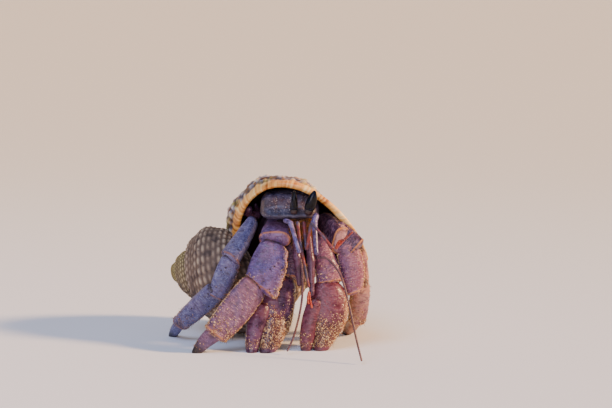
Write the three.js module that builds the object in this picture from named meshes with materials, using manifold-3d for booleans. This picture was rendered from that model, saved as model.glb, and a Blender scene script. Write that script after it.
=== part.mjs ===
// A land hermit crab walking in a turban shell, life size, as a still model.
// Millimetres, +Z up. The crab faces -Y, so its own right side lies towards -X.
// The origin is the middle of the floor that the whole animal stands over.
import * as THREE from 'three';
import { mergeVertices } from 'three/addons/utils/BufferGeometryUtils.js';
import Module from 'manifold-3d';

// ---- driving dimensions -------------------------------------------------------------------

const GAP = 0.3;              // clear space between neighbouring pieces
const LIMB_SIDES = 10;        // corners of a limb's cross-section
const ROD_SIDES = 7;          // corners of a feeler's cross-section
const FEELER_RADIUS = 0.27;   // thinnest feeler

// The shell is a right-handed helicospiral: every whorl is a bigger copy of the one before.
const SHELL = {
  apex: [-27.3, 19.4, 15.6],  // tip of the spire
  yaw: 18,                    // degrees that the axis turns from -X to the back
  rise: 4.4,                  // degrees that the axis rises towards the mouth
  mouthTurn: 18,              // degrees that the mouth lies past the top, towards the front
  growthPerTurn: 2.14,        // size ratio of two whorls
  turns: 3.2,                 // whorls that are modelled
  centreRadius: 6.9,          // mouth centre from the axis
  centreDepth: 34.0,          // mouth centre from the tip, along the axis
  depthPower: 1.08,           // above 1, the spire's whorls sit closer together
  long: 21.4,                 // half of the mouth's long diameter
  short: 16.3,                // half of the mouth's short diameter
  egg: 0.12,                  // by which the mouth is blunter at its upper end
  tilt: 52,                   // degrees between the mouth's long diameter and the axis
  lean: 0.04,                 // turn in radians by which the mouth's front end leads its back end
  flare: 0.08,                // share by which the mouth opens wider at its base
  pinch: 0.23,                // share by which it closes in near the suture
  pinchAt: -53,               // degrees round the mouth where it does so most
  flareTurns: 0.04,           // over which it does both
  wall: 1.5,                  // wall thickness at the mouth
  lip: 2.2,                   // width of the thickened rim
  lipTurns: 0.03,             // its length along the whorl
  hollowTurns: 8 / 12,        // how far the hollow runs back from the mouth
  core: 4.5,                  // how gently the whorls round off at the axis
  hollowCore: 7.5,            // the same for the hollow, which leaves a pillar round the axis
  callus: 0.5,                // layer that the hollow leaves on the whorl before
  ribs: 8,                    // main spiral ribs round the cross-section
  ribHeight: 0.4,             // half of the height between a rib and its groove
  stepsPerTurn: 12,           // cross-sections in one whorl
};

// Every limb piece runs from one joint to the next. side is the rough direction of its width;
// width and thick are the full sizes near the body, half way and far from it; slant slopes the
// far margin (mm along the limb per mm across); bow bends the middle towards side.
const LEGS = {
  leg_right_front: {
    merus: { from: [2.6, 8.8, 28.6], to: [0.9, -2.2, 26.6], side: [1, 0.1, 0.25],
      width: [5.0, 6.6, 7.6], thick: [4.0, 4.4, 4.2], slant: 0.1 },
    carpus: { from: [0.9, -1.9, 26.4], to: [-2.8, -6.4, 15.2], side: [1, -0.25, -0.1],
      width: [5.8, 8.6, 8.0], thick: [3.8, 4.6, 4.0], slant: 0.5, bow: 0.3 },
    propodus: { from: [-3.2, -6.2, 17.0], to: [-13.8, -9.6, 4.2], side: [1, 0, -1],
      width: [6.4, 7.3, 5.6], thick: [3.8, 4.0, 3.0], slant: 0.0, bow: 0.2 },
    dactyl: { from: [-12.2, -9.0, 5.6], to: [-18.6, -9.2, -0.7], side: [1, 0, -0.8],
      width: [4.4, 3.6, 1.7], thick: [2.8, 2.4, 1.5], bow: -0.5 },
  },
  leg_right_rear: {
    merus: { from: [-4.4, 9.2, 30.8], to: [-10.4, -1.0, 21.6], side: [1, -0.3, 0.4],
      width: [2.0, 4.4, 5.6], thick: [3.0, 3.8, 3.8], slant: 0.4, bow: 0.3 },
    carpus: { from: [-9.5, -0.6, 22.6], to: [-13.8, -0.8, 11.8], side: [1, 0, -0.3],
      width: [4.4, 5.0, 3.6], thick: [3.4, 3.8, 3.4], slant: 0.1, bow: -0.1 },
    propodus: { from: [-13.2, -1.4, 14.4], to: [-23.7, 6.2, 4.0], side: [0.7, 0.3, -0.8],
      width: [4.8, 5.1, 3.7], thick: [3.2, 3.2, 2.6] },
    dactyl: { from: [-22.7, 5.4, 5.0], to: [-26.0, 12.4, -0.7], side: [1, 0.2, -0.6],
      width: [3.0, 2.7, 1.7], thick: [2.4, 2.1, 1.5], bow: -0.3 },
  },
  leg_left_front: {
    merus: { from: [12.4, 8.4, 30.0], to: [17.7, -2.6, 26.2], side: [0, 0.35, 1],
      width: [5.4, 7.2, 6.4], thick: [3.6, 4.2, 4.4], slant: -0.15 },
    carpus: { from: [18.3, -1.2, 26.4], to: [20.8, -2.4, 13.2], side: [1, 0, 0.2],
      width: [4.4, 5.6, 3.2], thick: [4.2, 4.6, 3.4], slant: -0.2, bow: 0.7 },
    propodus: { from: [22.2, -1.2, 16.6], to: [21.6, 7.4, 4.4], side: [1, 0.3, 0.2],
      width: [4.0, 4.5, 3.6], thick: [4.4, 4.8, 3.6], bow: 0.3 },
    dactyl: { from: [21.7, 6.4, 5.6], to: [18.6, 15.2, -0.7], side: [1, 0.5, 0],
      width: [2.8, 2.5, 1.7], thick: [3.0, 2.4, 1.5], bow: 0.4 },
  },
  leg_left_rear: {
    merus: { from: [14.0, 8.4, 31.1], to: [21.8, -2.2, 24.4], side: [-0.2, 0.35, 1],
      width: [4.4, 5.6, 5.0], thick: [3.0, 3.4, 3.4], slant: -0.1 },
    carpus: { from: [21.6, -0.4, 24.8], to: [23.0, 5.8, 13.2], side: [1, 0.2, 0.3],
      width: [2.8, 3.2, 2.8], thick: [3.2, 3.8, 3.2], bow: 0.2 },
    propodus: { from: [22.9, 5.8, 15.0], to: [21.8, 16.0, 4.4], side: [1, 0.3, 0.2],
      width: [2.8, 3.2, 2.8], thick: [3.6, 3.9, 3.0] },
    dactyl: { from: [21.9, 15.0, 5.4], to: [19.2, 22.6, -0.7], side: [1, 0.4, 0],
      width: [2.4, 2.2, 1.7], thick: [2.5, 2.1, 1.5], bow: 0.3 },
  },
};

const CLAWS = {
  claw_right: {
    merus: { from: [5.0, 10.4, 22.8], to: [4.8, 3.0, 22.6], side: [1, 0, 0],
      width: [4.4, 5.2, 5.4], thick: [4.4, 4.8, 4.6] },
    carpus: { from: [5.0, 4.4, 25.6], to: [4.0, 1.0, 16.4], side: [1, 0, 0],
      width: [4.0, 5.8, 5.8], thick: [4.0, 4.8, 4.4], bow: 0.2 },
    palm: { from: [3.5, 0.4, 17.4], to: [-0.2, -4.2, 4.2], side: [1, 0, -0.3],
      width: [5.2, 8.8, 8.8], thick: [4.2, 5.2, 4.0], slant: 0.0, bow: -0.1 },
    fixed: { from: [1.6, -3.4, 8.2], to: [-1.6, -9.4, -1.4], side: [1, 0, -0.3],
      width: [6.0, 5.2, 2.6], thick: [4.0, 3.6, 2.4], bow: 0.5 },
    finger: { from: [-3.0, -3.6, 9.2], to: [-4.6, -9.0, -1.2], side: [1, 0, -0.3],
      width: [4.0, 4.0, 2.4], thick: [3.8, 3.4, 2.2], bow: -0.5 },
  },
  claw_left: {
    merus: { from: [10.4, 10.0, 23.6], to: [12.6, 2.6, 23.4], side: [1, 0.3, 0],
      width: [4.4, 5.0, 5.2], thick: [4.4, 5.0, 5.0] },
    carpus: { from: [12.6, -0.2, 28.4], to: [15.0, -2.8, 15.8], side: [1, 0, 0.1],
      width: [1.6, 5.2, 7.2], thick: [2.6, 5.0, 5.0], bow: -0.2 },
    palm: { from: [14.4, -2.4, 17.0], to: [12.9, -4.8, 3.2], side: [1, 0, 0],
      width: [6.0, 10.4, 7.6], thick: [5.0, 6.6, 4.6], slant: -0.1, bow: 0.3 },
    fixed: { from: [14.2, -4.0, 7.4], to: [11.6, -6.2, -1.4], side: [1, 0, 0.4],
      width: [6.6, 5.0, 2.8], thick: [5.0, 4.4, 3.0], bow: 0.4 },
    finger: { from: [10.7, -4.4, 10.6], to: [8.6, -6.2, -1.4], side: [1, 0, 0.1],
      width: [3.2, 3.6, 2.4], thick: [5.0, 4.4, 2.8], bow: -0.6 },
  },
};

// The small fourth and fifth legs hold the shell from inside its mouth.
const SHELL_LEGS = {
  leg_right_fourth: { path: [[-3.0, 13.0, 31.0], [-6.0, 11.0, 32.2], [-5.4, 9.0, 33.6]], radii: [1.0, 1.1, 0.7] },
  leg_left_fourth: { path: [[12.4, 14.6, 29.6], [13.6, 13.0, 29.8], [13.2, 11.8, 31.4]], radii: [0.9, 0.9, 0.6] },
  leg_right_fifth: { path: [[-1.6, 17.0, 31.0], [-4.0, 16.6, 32.4], [-4.4, 14.8, 34.0]], radii: [0.7, 0.8, 0.5] },
  leg_left_fifth: { path: [[10.0, 18.0, 29.8], [11.6, 17.2, 30.4], [11.4, 15.6, 31.8]], radii: [0.7, 0.7, 0.5] },
};

// Head and trunk pieces lie along the body, from front to back: one cross-section per row,
// with its place, half width, and half height above and below.
const BODY_MIDDLE = 4.7;      // x of the animal's middle plane
const SHIELD = [
  { y: -3.0, z: 32.9, wide: 4.6, up: 0.7, down: 0.8 },
  { y: -1.4, z: 33.0, wide: 6.2, up: 2.0, down: 1.3 },
  { y: 2.0, z: 33.4, wide: 7.2, up: 3.9, down: 1.7 },
  { y: 7.0, z: 33.6, wide: 7.4, up: 5.0, down: 1.9 },
  { y: 11.5, z: 33.0, wide: 6.6, up: 4.2, down: 1.9 },
  { y: 14.5, z: 32.6, wide: 5.0, up: 2.8, down: 1.4 },
];
const TRUNK = [
  { y: 0.4, z: 28.4, wide: 3.6, up: 3.0, down: 2.6 },
  { y: 4.0, z: 28.6, wide: 6.0, up: 3.0, down: 3.6 },
  { y: 10.0, z: 28.4, wide: 6.8, up: 3.4, down: 3.8 },
  { y: 15.6, z: 28.6, wide: 5.2, up: 2.8, down: 3.0 },
];
const MOUTH = { from: [7.6, -2.0, 32.4], to: [7.4, -1.0, 25.2], side: [1, 0, 0],
  width: [4.2, 4.4, 3.0], thick: [2.4, 3.2, 2.4] };

// Feelers: bent rods through named joints.
const RODS = {
  maxilliped_right: { path: [[6.2, -2.4, 28.2], [6.6, -3.8, 22.6], [7.2, -3.4, 15.4]], radii: [0.9, 0.95, 0.6] },
  maxilliped_left: { path: [[9.2, -2.6, 28.2], [10.0, -4.2, 21.8], [10.2, -6.2, 13.4]], radii: [0.9, 0.95, 0.6] },
  antennule_right: { path: [[6.7, -4.0, 31.6], [7.4, -6.4, 26.4], [9.5, -8.2, 15.8]], radii: [0.6, 0.5, 0.4] },
  antennule_left: { path: [[8.2, -4.0, 31.6], [8.9, -7.2, 25.2], [10.1, -8.8, 31.6], [15.4, -12, 25.8]],
    radii: [0.6, 0.45, 0.5, 0.36] },
  antenna_right: { path: [[3.3, -3.8, 31.8], [5.0, -5.2, 31.4], [7.2, -9, 24.3]], radii: [0.95, 0.85, 0.6] },
  antenna_left: { path: [[11.4, -3.6, 33.4], [10.8, -5.2, 31.6], [11.3, -9, 23.9]], radii: [0.9, 0.95, 0.65] },
};
const WHIPS = {
  antennule_right_flagella: [[[9.5, -8.6, 15.0], [9.7, -8.8, 13.2], [10.2, -9.2, 11.0]],
    [[9.5, -8.6, 15.0], [9.2, -9.2, 13.4], [9.4, -9.6, 12.0]]],
  antennule_left_flagella: [[[15.8, -12.4, 25.9], [17.6, -13.2, 28.0], [19.9, -14, 30.3]],
    [[15.8, -12.4, 25.9], [16.6, -13.2, 27.8], [18.0, -14, 28.4]]],
  antenna_right_flagellum: [[[7.4, -9.4, 23.2], [8.0, -9.8, 19.0], [7.6, -9.6, 12.0], [6.0, -10.4, 5.0], [4.2, -12, 0.9]]],
  antenna_left_flagellum: [[[11.7, -9.6, 23.3], [13.9, -11.4, 23.4], [17.0, -14.4, 19.8], [19.0, -17.6, 13.0],
    [20.6, -20.4, 5.6], [21.8, -22.6, 0.8]]],
};

const EYES = {
  right: { from: [5.75, -3.7, 33.5], to: [5.9, -4.3, 38.9], side: [1, 0, 0], width: [1.3, 1.5, 0.7], thick: [1.5, 1.9, 0.8] },
  left: { from: [9.2, -3.7, 33.4], to: [10.9, -4.3, 39.0], side: [1, 0.3, 0], width: [1.5, 2.1, 0.9], thick: [1.3, 1.6, 0.8] },
};
const EYESTALK_SHARE = 0.4;   // part of the eye's length that is stalk

// Surface of each piece: the first row whose start of name fits.
const SURFACES = [
  { piece: 'shell', color: '#8b7a66', roughness: 0.75 },
  { piece: 'shield', color: '#66606f', roughness: 0.45 },
  { piece: 'trunk', color: '#7a5a58', roughness: 0.6 },
  { piece: 'abdomen', color: '#9a6f62', roughness: 0.6 },
  { piece: 'mouth', color: '#6b4524', roughness: 0.7 },
  { piece: 'maxilliped', color: '#5e4259', roughness: 0.45 },
  { piece: 'eyestalk', color: '#2b2c38', roughness: 0.4 },
  { piece: 'eye', color: '#0e1116', roughness: 0.15 },
  { piece: 'antennule', color: '#a9553f', roughness: 0.5 },
  { piece: 'antenna', color: '#9c90b4', roughness: 0.4 },
  { piece: 'leg_right', color: '#77709c', roughness: 0.5 },
  { piece: 'leg_left', color: '#96697c', roughness: 0.5 },
  { piece: 'claw', color: '#6d4a69', roughness: 0.4 },
];

// ---- small helpers --------------------------------------------------------------------------

const wasm = await Module();
wasm.setup();

const vec = (xyz) => new THREE.Vector3(...xyz);

function solidOf(geometry) {
  const bare = geometry.index ? geometry.clone() : mergeVertices(geometry.clone());
  const mesh = new wasm.Mesh({
    numProp: 3,
    vertProperties: new Float32Array(bare.attributes.position.array),
    triVerts: new Uint32Array(bare.index.array),
  });
  mesh.merge();
  return new wasm.Manifold(mesh);
}

function geometryOf(solid) {
  const { vertProperties, triVerts } = solid.getMesh();
  const geometry = new THREE.BufferGeometry();
  geometry.setAttribute('position', new THREE.BufferAttribute(vertProperties, 3));
  geometry.setIndex(new THREE.BufferAttribute(triVerts, 1));
  return geometry;
}

/** Closed skin over rings of equally many points, with a pole point beyond each end. */
function skin(rings, firstPole, lastPole) {
  const sides = rings[0].length;
  const points = [firstPole, ...rings.flat(), lastPole];
  const at = (ring, side) => 1 + ring * sides + (side % sides);
  const last = points.length - 1;
  const index = [];
  for (let side = 0; side < sides; side += 1) {
    index.push(0, at(0, side + 1), at(0, side));
    for (let ring = 0; ring + 1 < rings.length; ring += 1) {
      const [a, b] = [at(ring, side), at(ring, side + 1)];
      const [c, d] = [at(ring + 1, side), at(ring + 1, side + 1)];
      index.push(a, b, d, a, d, c);
    }
    index.push(last, at(rings.length - 1, side), at(rings.length - 1, side + 1));
  }
  const geometry = new THREE.BufferGeometry();
  geometry.setAttribute('position', new THREE.BufferAttribute(
    new Float32Array(points.flatMap((p) => p.toArray())), 3));
  geometry.setIndex(signedVolume(points, index) > 0 ? index : index.reverse());
  return geometry;
}

function signedVolume(points, index) {
  const cross = new THREE.Vector3();
  let six = 0;
  for (let i = 0; i < index.length; i += 3) {
    six += points[index[i]].dot(cross.crossVectors(points[index[i + 1]], points[index[i + 2]]));
  }
  return six / 6;
}

/** Value at t (0 to 1) of the parabola through three values at 0, 1/2 and 1. */
function through([near, middle, far], t) {
  return near * (1 - t) * (1 - 2 * t) + middle * 4 * t * (1 - t) + far * t * (2 * t - 1);
}

/** Rounded-box cross-section: sign-keeping power of the circle's cosine and sine. */
const SQUARENESS = 0.82;
const rounded = (value) => Math.sign(value) * Math.abs(value) ** SQUARENESS;

/** One limb piece, with rounded ends; grow makes it bigger all round, to cut a socket. */
function limbPiece(spec, grow = 0) {
  const along = vec(spec.to).sub(vec(spec.from));
  const length = along.length() + 2 * grow;
  along.normalize();
  const out = new THREE.Vector3().crossVectors(vec(spec.side), along).normalize();
  const side = new THREE.Vector3().crossVectors(along, out);
  const start = vec(spec.from).addScaledVector(along, -grow);
  const { slant = 0, bow = 0 } = spec;
  const nearCap = 0.5 * spec.thick[0] / length;
  const farCap = 0.4 * spec.thick[2] / length;
  const stations = [
    { t: 0.35 * nearCap, size: 0.76 }, { t: nearCap, size: 1 }, { t: 0.5, size: 1 },
    { t: 1 - farCap, size: 1 }, { t: 1 - 0.35 * farCap, size: 0.76 },
  ];
  const centre = (t) => start.clone().addScaledVector(along, t * length)
    .addScaledVector(side, bow * 4 * t * (1 - t));
  const rings = stations.map(({ t, size }) => {
    const halfWidth = (through(spec.width, t) / 2 + grow) * size;
    const halfThick = (through(spec.thick, t) / 2 + grow) * size;
    return Array.from({ length: LIMB_SIDES }, (_, corner) => {
      const angle = (corner / LIMB_SIDES) * 2 * Math.PI;
      const across = halfWidth * rounded(Math.cos(angle));
      return centre(t).addScaledVector(side, across)
        .addScaledVector(out, halfThick * rounded(Math.sin(angle)))
        .addScaledVector(along, across * slant * t * t);
    });
  });
  return solidOf(skin(rings, centre(0), centre(1)));
}

/** A rod through points, with a radius at each, rounded into one smooth bend or left angular. */
function rod(path, radii, { smooth = false, sides = ROD_SIDES, grow = 0 } = {}) {
  const points = path.map(vec);
  const curve = smooth ? new THREE.CatmullRomCurve3(points) : polyline(points);
  const count = (smooth ? 3 : 2) * (points.length - 1);
  const normal = new THREE.Vector3();
  const frames = Array.from({ length: count + 1 }, (_, i) => {
    const t = i / count;
    const tangent = curve.getTangent(t);
    if (i === 0) normal.set(1, 0.3, 0.2);
    normal.addScaledVector(tangent, -normal.dot(tangent)).normalize();
    const binormal = new THREE.Vector3().crossVectors(tangent, normal);
    return { point: curve.getPoint(t), normal: normal.clone(), binormal, tangent, radius: sample(radii, t) + grow };
  });
  const rings = frames.map(({ point, normal: u, binormal: v, radius }) => Array.from({ length: sides }, (_, k) => {
    const angle = (k / sides) * 2 * Math.PI;
    return point.clone().addScaledVector(u, radius * Math.cos(angle)).addScaledVector(v, radius * Math.sin(angle));
  }));
  const [first, last] = [frames[0], frames[count]];
  return solidOf(skin(rings, first.point.clone().addScaledVector(first.tangent, -0.6 * first.radius),
    last.point.clone().addScaledVector(last.tangent, 0.6 * last.radius)));
}

/** Straight-edged curve with slightly mitred bends, as the three.js curve interface needs. */
function polyline(points) {
  const spans = points.length - 1;
  const locate = (t) => {
    const at = Math.min(t * spans, spans - 1e-9);
    return { i: Math.floor(at), share: at - Math.floor(at) };
  };
  return {
    getPoint: (t) => {
      const { i, share } = locate(t);
      return points[i].clone().lerp(points[i + 1], share);
    },
    getTangent: (t) => {
      const before = locate(Math.max(t - 1e-3, 0)).i;
      const after = locate(Math.min(t + 1e-3, 1)).i;
      const direction = (i) => points[i + 1].clone().sub(points[i]).normalize();
      return direction(before).add(direction(after)).normalize();
    },
  };
}

function sample(values, t) {
  const at = Math.min(t * (values.length - 1), values.length - 1 - 1e-9);
  const i = Math.floor(at);
  return THREE.MathUtils.lerp(values[i], values[i + 1], at - i);
}

/** A body piece from cross-sections that stand across the animal, in rows along Y. */
function bodyPiece(rows, grow = 0) {
  const sides = 14;
  const rings = rows.map(({ y, z, wide, up, down }) => Array.from({ length: sides }, (_, k) => {
    const angle = (k / sides) * 2 * Math.PI;
    const height = Math.sin(angle) > 0 ? up : down;
    return new THREE.Vector3(BODY_MIDDLE + (wide + grow) * rounded(Math.cos(angle)), y,
      z + (height + grow) * rounded(Math.sin(angle)));
  }));
  const pole = (row, offset) => new THREE.Vector3(BODY_MIDDLE, row.y + offset, row.z + (row.up - row.down) / 2);
  return solidOf(skin(rings, pole(rows[0], -0.8 - grow), pole(rows.at(-1), 1.4 + grow)));
}

// ---- the shell --------------------------------------------------------------------------------

const degrees = THREE.MathUtils.degToRad;

/** The shell's own axes in the world: z to the tip, x up, y to the back. */
function shellFrame() {
  const toTip = new THREE.Vector3(
    -Math.cos(degrees(SHELL.yaw)) * Math.cos(degrees(SHELL.rise)),
    Math.sin(degrees(SHELL.yaw)) * Math.cos(degrees(SHELL.rise)),
    -Math.sin(degrees(SHELL.rise)));
  const back = new THREE.Vector3().crossVectors(toTip, new THREE.Vector3(0, 0, 1)).normalize();
  const up = new THREE.Vector3().crossVectors(back, toTip);
  return new THREE.Matrix4().makeBasis(up, back, toTip).setPosition(vec(SHELL.apex));
}
const SHELL_FRAME = shellFrame();

/** Share by which the whorl is opened (or closed in) at an angle round the cross-section. */
function mouthOpening(turns, a) {
  const pinched = 0.5 + 0.5 * Math.cos(a - degrees(SHELL.pinchAt));
  return 1 + THREE.MathUtils.lerp(SHELL.flare, -SHELL.pinch, pinched) * Math.exp(Math.min(turns, 0) / SHELL.flareTurns);
}

/** One cross-section at turns before (-) or past (+) the mouth, made thinner by inset. */
function shellSection(turns, inset, { core = SHELL.core, rib = 0 } = {}) {
  const size = SHELL.growthPerTurn ** turns;
  const depth = SHELL.centreDepth * size ** SHELL.depthPower;
  const tilt = degrees(SHELL.tilt);
  const sides = 2 * SHELL.ribs;
  return Array.from({ length: sides }, (_, k) => {
    const a = (k / sides) * 2 * Math.PI;
    const thinner = inset + rib * (-1) ** k * (1 - Math.exp(Math.min(turns, 0) / SHELL.flareTurns));
    const u = (SHELL.long - thinner) * Math.cos(a) * (1 - SHELL.egg * Math.cos(a));
    const v = (SHELL.short - thinner) * Math.sin(a);
    const opened = mouthOpening(turns, a);
    const axial = (u * Math.cos(tilt) - v * Math.sin(tilt)) * opened;
    const reach = SHELL.centreRadius + u * Math.sin(tilt) + v * Math.cos(tilt);
    const radial = ((reach + Math.hypot(reach, core)) / 2) * opened;   // never crosses the axis
    const angle = -degrees(SHELL.mouthTurn) - 2 * Math.PI * turns + (SHELL.lean * axial) / SHELL.long;
    return new THREE.Vector3(radial * size * Math.cos(angle), radial * size * Math.sin(angle), axial * size - depth)
      .applyMatrix4(SHELL_FRAME);
  });
}

const middleOf = (ring) => ring.reduce((sum, p) => sum.add(p), new THREE.Vector3()).divideScalar(ring.length);

/** Places of the cross-sections; all spirals share them, so that walls keep their thickness. */
function stationsOf(from, to) {
  const turn = SHELL.stepsPerTurn;
  const first = Math.floor(from * turn) + 1;
  const even = Array.from({ length: Math.ceil(to * turn) - first }, (_, i) => (first + i) / turn);
  return [from, ...even, to, -SHELL.lipTurns].filter((turns) => turns >= from && turns <= to)
    .sort((a, b) => a - b).filter((turns, i, all) => turns !== all[i - 1]);
}

/** The spiral body from one place to another, in turns from the mouth; inset is in mm there. */
function spiral(from, to, inset, shape) {
  const stations = stationsOf(from, to);
  const reach = SHELL.stepsPerTurn - 2;                  // below one turn, no piece meets itself
  let whole = null;
  for (let start = 0; start + 1 < stations.length; start += reach) {
    const rings = stations.slice(start, start + reach + 1).map((turns) => shellSection(turns, inset, shape));
    const piece = solidOf(skin(rings, middleOf(rings[0]), middleOf(rings.at(-1))));
    whole = whole ? whole.add(piece) : piece;
  }
  return whole;
}

/** The hollow whorl with its thickened rim; grow makes the walls thicker all round. */
function shellSolid(grow = 0) {
  const ribbed = { rib: SHELL.ribHeight };
  const inner = { core: SHELL.hollowCore };
  const outside = spiral(-SHELL.turns, grow / 40, -grow, ribbed);   // the gap also lies in front of the rim
  const olderWhorls = spiral(-1.8, -0.8, -SHELL.callus - grow);
  const hollow = spiral(-SHELL.hollowTurns, -SHELL.lipTurns, SHELL.wall + grow, inner);
  const rim = spiral(-2 * SHELL.lipTurns, 0.05, SHELL.lip + grow, inner);
  return mainBody(outside.subtract(hollow.add(rim).subtract(olderWhorls)));
}

/** The soft abdomen, coiled inside the shell behind the trunk. */
function abdomenSolid() {
  const [start, end] = [-0.5, -0.09];
  const steps = 7;
  const rings = Array.from({ length: steps + 1 }, (_, i) => {
    const turns = THREE.MathUtils.lerp(start, end, i / steps);
    const girth = THREE.MathUtils.lerp(0.3, 0.46, i / steps);
    const ring = shellSection(turns, 0);
    const middle = middleOf(ring);
    return ring.filter((_, k) => k % 2 === 0).map((p) => middle.clone().lerp(p, girth));
  });
  return solidOf(skin(rings, middleOf(rings[0]), middleOf(rings.at(-1))));
}

// ---- assembling -------------------------------------------------------------------------------

const solids = new Map();
const grown = new Map();      // the same pieces, bigger by the gap, to cut their neighbours

function keep(name, solid, bigger) {
  solids.set(name, solid);
  grown.set(name, bigger);
}

function keepLimb(name, spec) {
  keep(name, limbPiece(spec), limbPiece(spec, GAP));
}

/** The biggest body that a cut leaves, without its crumbs. */
function mainBody(solid) {
  return solid.decompose().sort((a, b) => b.volume() - a.volume())[0];
}

function carve(name, ...cutters) {
  for (const cutter of cutters) {
    solids.set(name, mainBody(solids.get(name).subtract(grown.get(cutter))));
  }
}

const floorBlock = new THREE.BoxGeometry(200, 200, 20).translate(0, 0, -10);
floorBlock.deleteAttribute('normal');
floorBlock.deleteAttribute('uv');
const floor = solidOf(mergeVertices(floorBlock));

function buildLegs() {
  for (const [leg, parts] of Object.entries(LEGS)) {
    for (const [part, spec] of Object.entries(parts)) keepLimb(`${leg}_${part}`, spec);
    carve(`${leg}_merus`, `${leg}_carpus`);
    carve(`${leg}_carpus`, `${leg}_propodus`);
    carve(`${leg}_propodus`, `${leg}_dactyl`);
    solids.set(`${leg}_dactyl`, solids.get(`${leg}_dactyl`).subtract(floor));
  }
}

function buildClaws() {
  for (const [claw, parts] of Object.entries(CLAWS)) {
    for (const part of ['merus', 'carpus', 'finger']) keepLimb(`${claw}_${part}`, parts[part]);
    const palm = (grow) => limbPiece(parts.palm, grow).add(limbPiece(parts.fixed, grow));
    keep(`${claw}_palm`, palm(0), palm(GAP));
    carve(`${claw}_merus`, `${claw}_carpus`);
    carve(`${claw}_carpus`, `${claw}_palm`);
    carve(`${claw}_palm`, `${claw}_finger`);
    for (const part of ['palm', 'finger']) {
      solids.set(`${claw}_${part}`, solids.get(`${claw}_${part}`).subtract(floor));
    }
  }
}

function buildFeelers() {
  for (const [name, { path, radii }] of Object.entries({ ...RODS, ...SHELL_LEGS })) {
    keep(name, rod(path, radii), rod(path, radii, { grow: GAP }));
  }
  for (const [name, branches] of Object.entries(WHIPS)) {
    const whip = (grow) => branches
      .map((path) => rod(path, [FEELER_RADIUS, FEELER_RADIUS], { smooth: true, sides: 5, grow }))
      .reduce((sum, branch) => sum.add(branch));
    keep(name, whip(0), whip(GAP));
  }
}

function buildEyes() {
  for (const [side, spec] of Object.entries(EYES)) {
    const [from, to] = [vec(spec.from), vec(spec.to)];
    const joint = from.clone().lerp(to, EYESTALK_SHARE);
    const gap = to.clone().sub(from).normalize().multiplyScalar(GAP);
    const joined = through(spec.width, EYESTALK_SHARE);
    const joinedThick = through(spec.thick, EYESTALK_SHARE);
    keepLimb(`eyestalk_${side}`, { ...spec, to: joint.toArray(),
      width: [spec.width[0], spec.width[0], joined], thick: [spec.thick[0], spec.thick[0], joinedThick] });
    keepLimb(`eye_${side}`, { ...spec, from: joint.add(gap).toArray(),
      width: [joined, spec.width[1], spec.width[2]], thick: [joinedThick, spec.thick[1], spec.thick[2]] });
  }
}

buildLegs();
buildClaws();
buildFeelers();
buildEyes();
keepLimb('mouth', MOUTH);
keep('shield', bodyPiece(SHIELD), bodyPiece(SHIELD, GAP));
keep('trunk', bodyPiece(TRUNK), bodyPiece(TRUNK, GAP));
keep('abdomen', abdomenSolid(), null);
const shell = shellSolid();
keep('shell', shell, shellSolid(GAP).add(shell));   // with facets, the bigger one alone misses slivers

const limbRoots = [...Object.keys(LEGS), ...Object.keys(CLAWS)].map((limb) => `${limb}_merus`);
const mouthRods = ['maxilliped_right', 'maxilliped_left', 'antennule_right', 'antennule_left'];
carve('leg_left_front_merus', 'claw_left_merus', 'claw_left_carpus');
carve('leg_left_rear_merus', 'leg_left_front_merus', 'leg_left_front_carpus');
carve('leg_left_rear_carpus', 'leg_left_front_carpus', 'leg_left_front_propodus');
carve('leg_left_rear_propodus', 'leg_left_front_propodus');
for (const name of [...solids.keys()].filter((key) => key !== 'shell')) carve(name, 'shell');
carve('shield', 'antenna_right', 'antenna_left');
carve('mouth', 'shield', ...mouthRods);
carve('trunk', 'shield', 'mouth', 'claw_right_carpus', ...limbRoots, ...mouthRods, ...Object.keys(SHELL_LEGS));
carve('abdomen', 'shield', 'trunk', ...limbRoots, ...Object.keys(SHELL_LEGS));

function materialOf(name) {
  const { color, roughness } = SURFACES.find(({ piece }) => name.startsWith(piece));
  return new THREE.MeshStandardMaterial({ color, roughness, metalness: 0 });
}

const crab = new THREE.Group();
for (const [name, solid] of solids) {
  const mesh = new THREE.Mesh(geometryOf(solid), materialOf(name));
  mesh.name = name;
  crab.add(mesh);
}
const box = new THREE.Box3().setFromObject(crab);
const middle = box.getCenter(new THREE.Vector3());
crab.position.set(-middle.x, -middle.y, -box.min.z);

export default crab;
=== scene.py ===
# %% [markdown]
# # A land hermit crab in its turban shell
# The crab stands life size on its claws and walking legs, with the shell on its back. The
# solids of the frame say where each part sits. This lesson dresses them: every solid is
# replaced by a finer surface, made from the same sizes, with its own relief and finish.

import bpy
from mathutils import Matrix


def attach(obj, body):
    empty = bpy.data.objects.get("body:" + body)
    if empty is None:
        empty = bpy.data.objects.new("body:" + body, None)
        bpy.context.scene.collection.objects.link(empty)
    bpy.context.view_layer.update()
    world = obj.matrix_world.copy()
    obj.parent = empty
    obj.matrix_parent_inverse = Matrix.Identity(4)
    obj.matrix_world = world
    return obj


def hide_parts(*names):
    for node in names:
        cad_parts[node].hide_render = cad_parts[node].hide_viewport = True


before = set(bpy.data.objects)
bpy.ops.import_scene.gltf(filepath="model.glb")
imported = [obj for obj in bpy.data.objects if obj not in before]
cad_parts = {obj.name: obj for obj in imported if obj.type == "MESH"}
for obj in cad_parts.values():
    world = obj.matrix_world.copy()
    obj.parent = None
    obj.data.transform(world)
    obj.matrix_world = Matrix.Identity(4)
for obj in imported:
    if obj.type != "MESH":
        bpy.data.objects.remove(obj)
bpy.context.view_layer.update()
print("solids:", len(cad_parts))

# %% [markdown]
# ## The camera
# A low camera in front of the crab with a long lens, tilted down a little. It comes first,
# so that everything after it can be looked at as it is made. All sizes below are in the
# crab's own millimetres, and one function turns them to the frame's metres.

# %% Camera
import math

import bpy
import numpy as np

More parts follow.
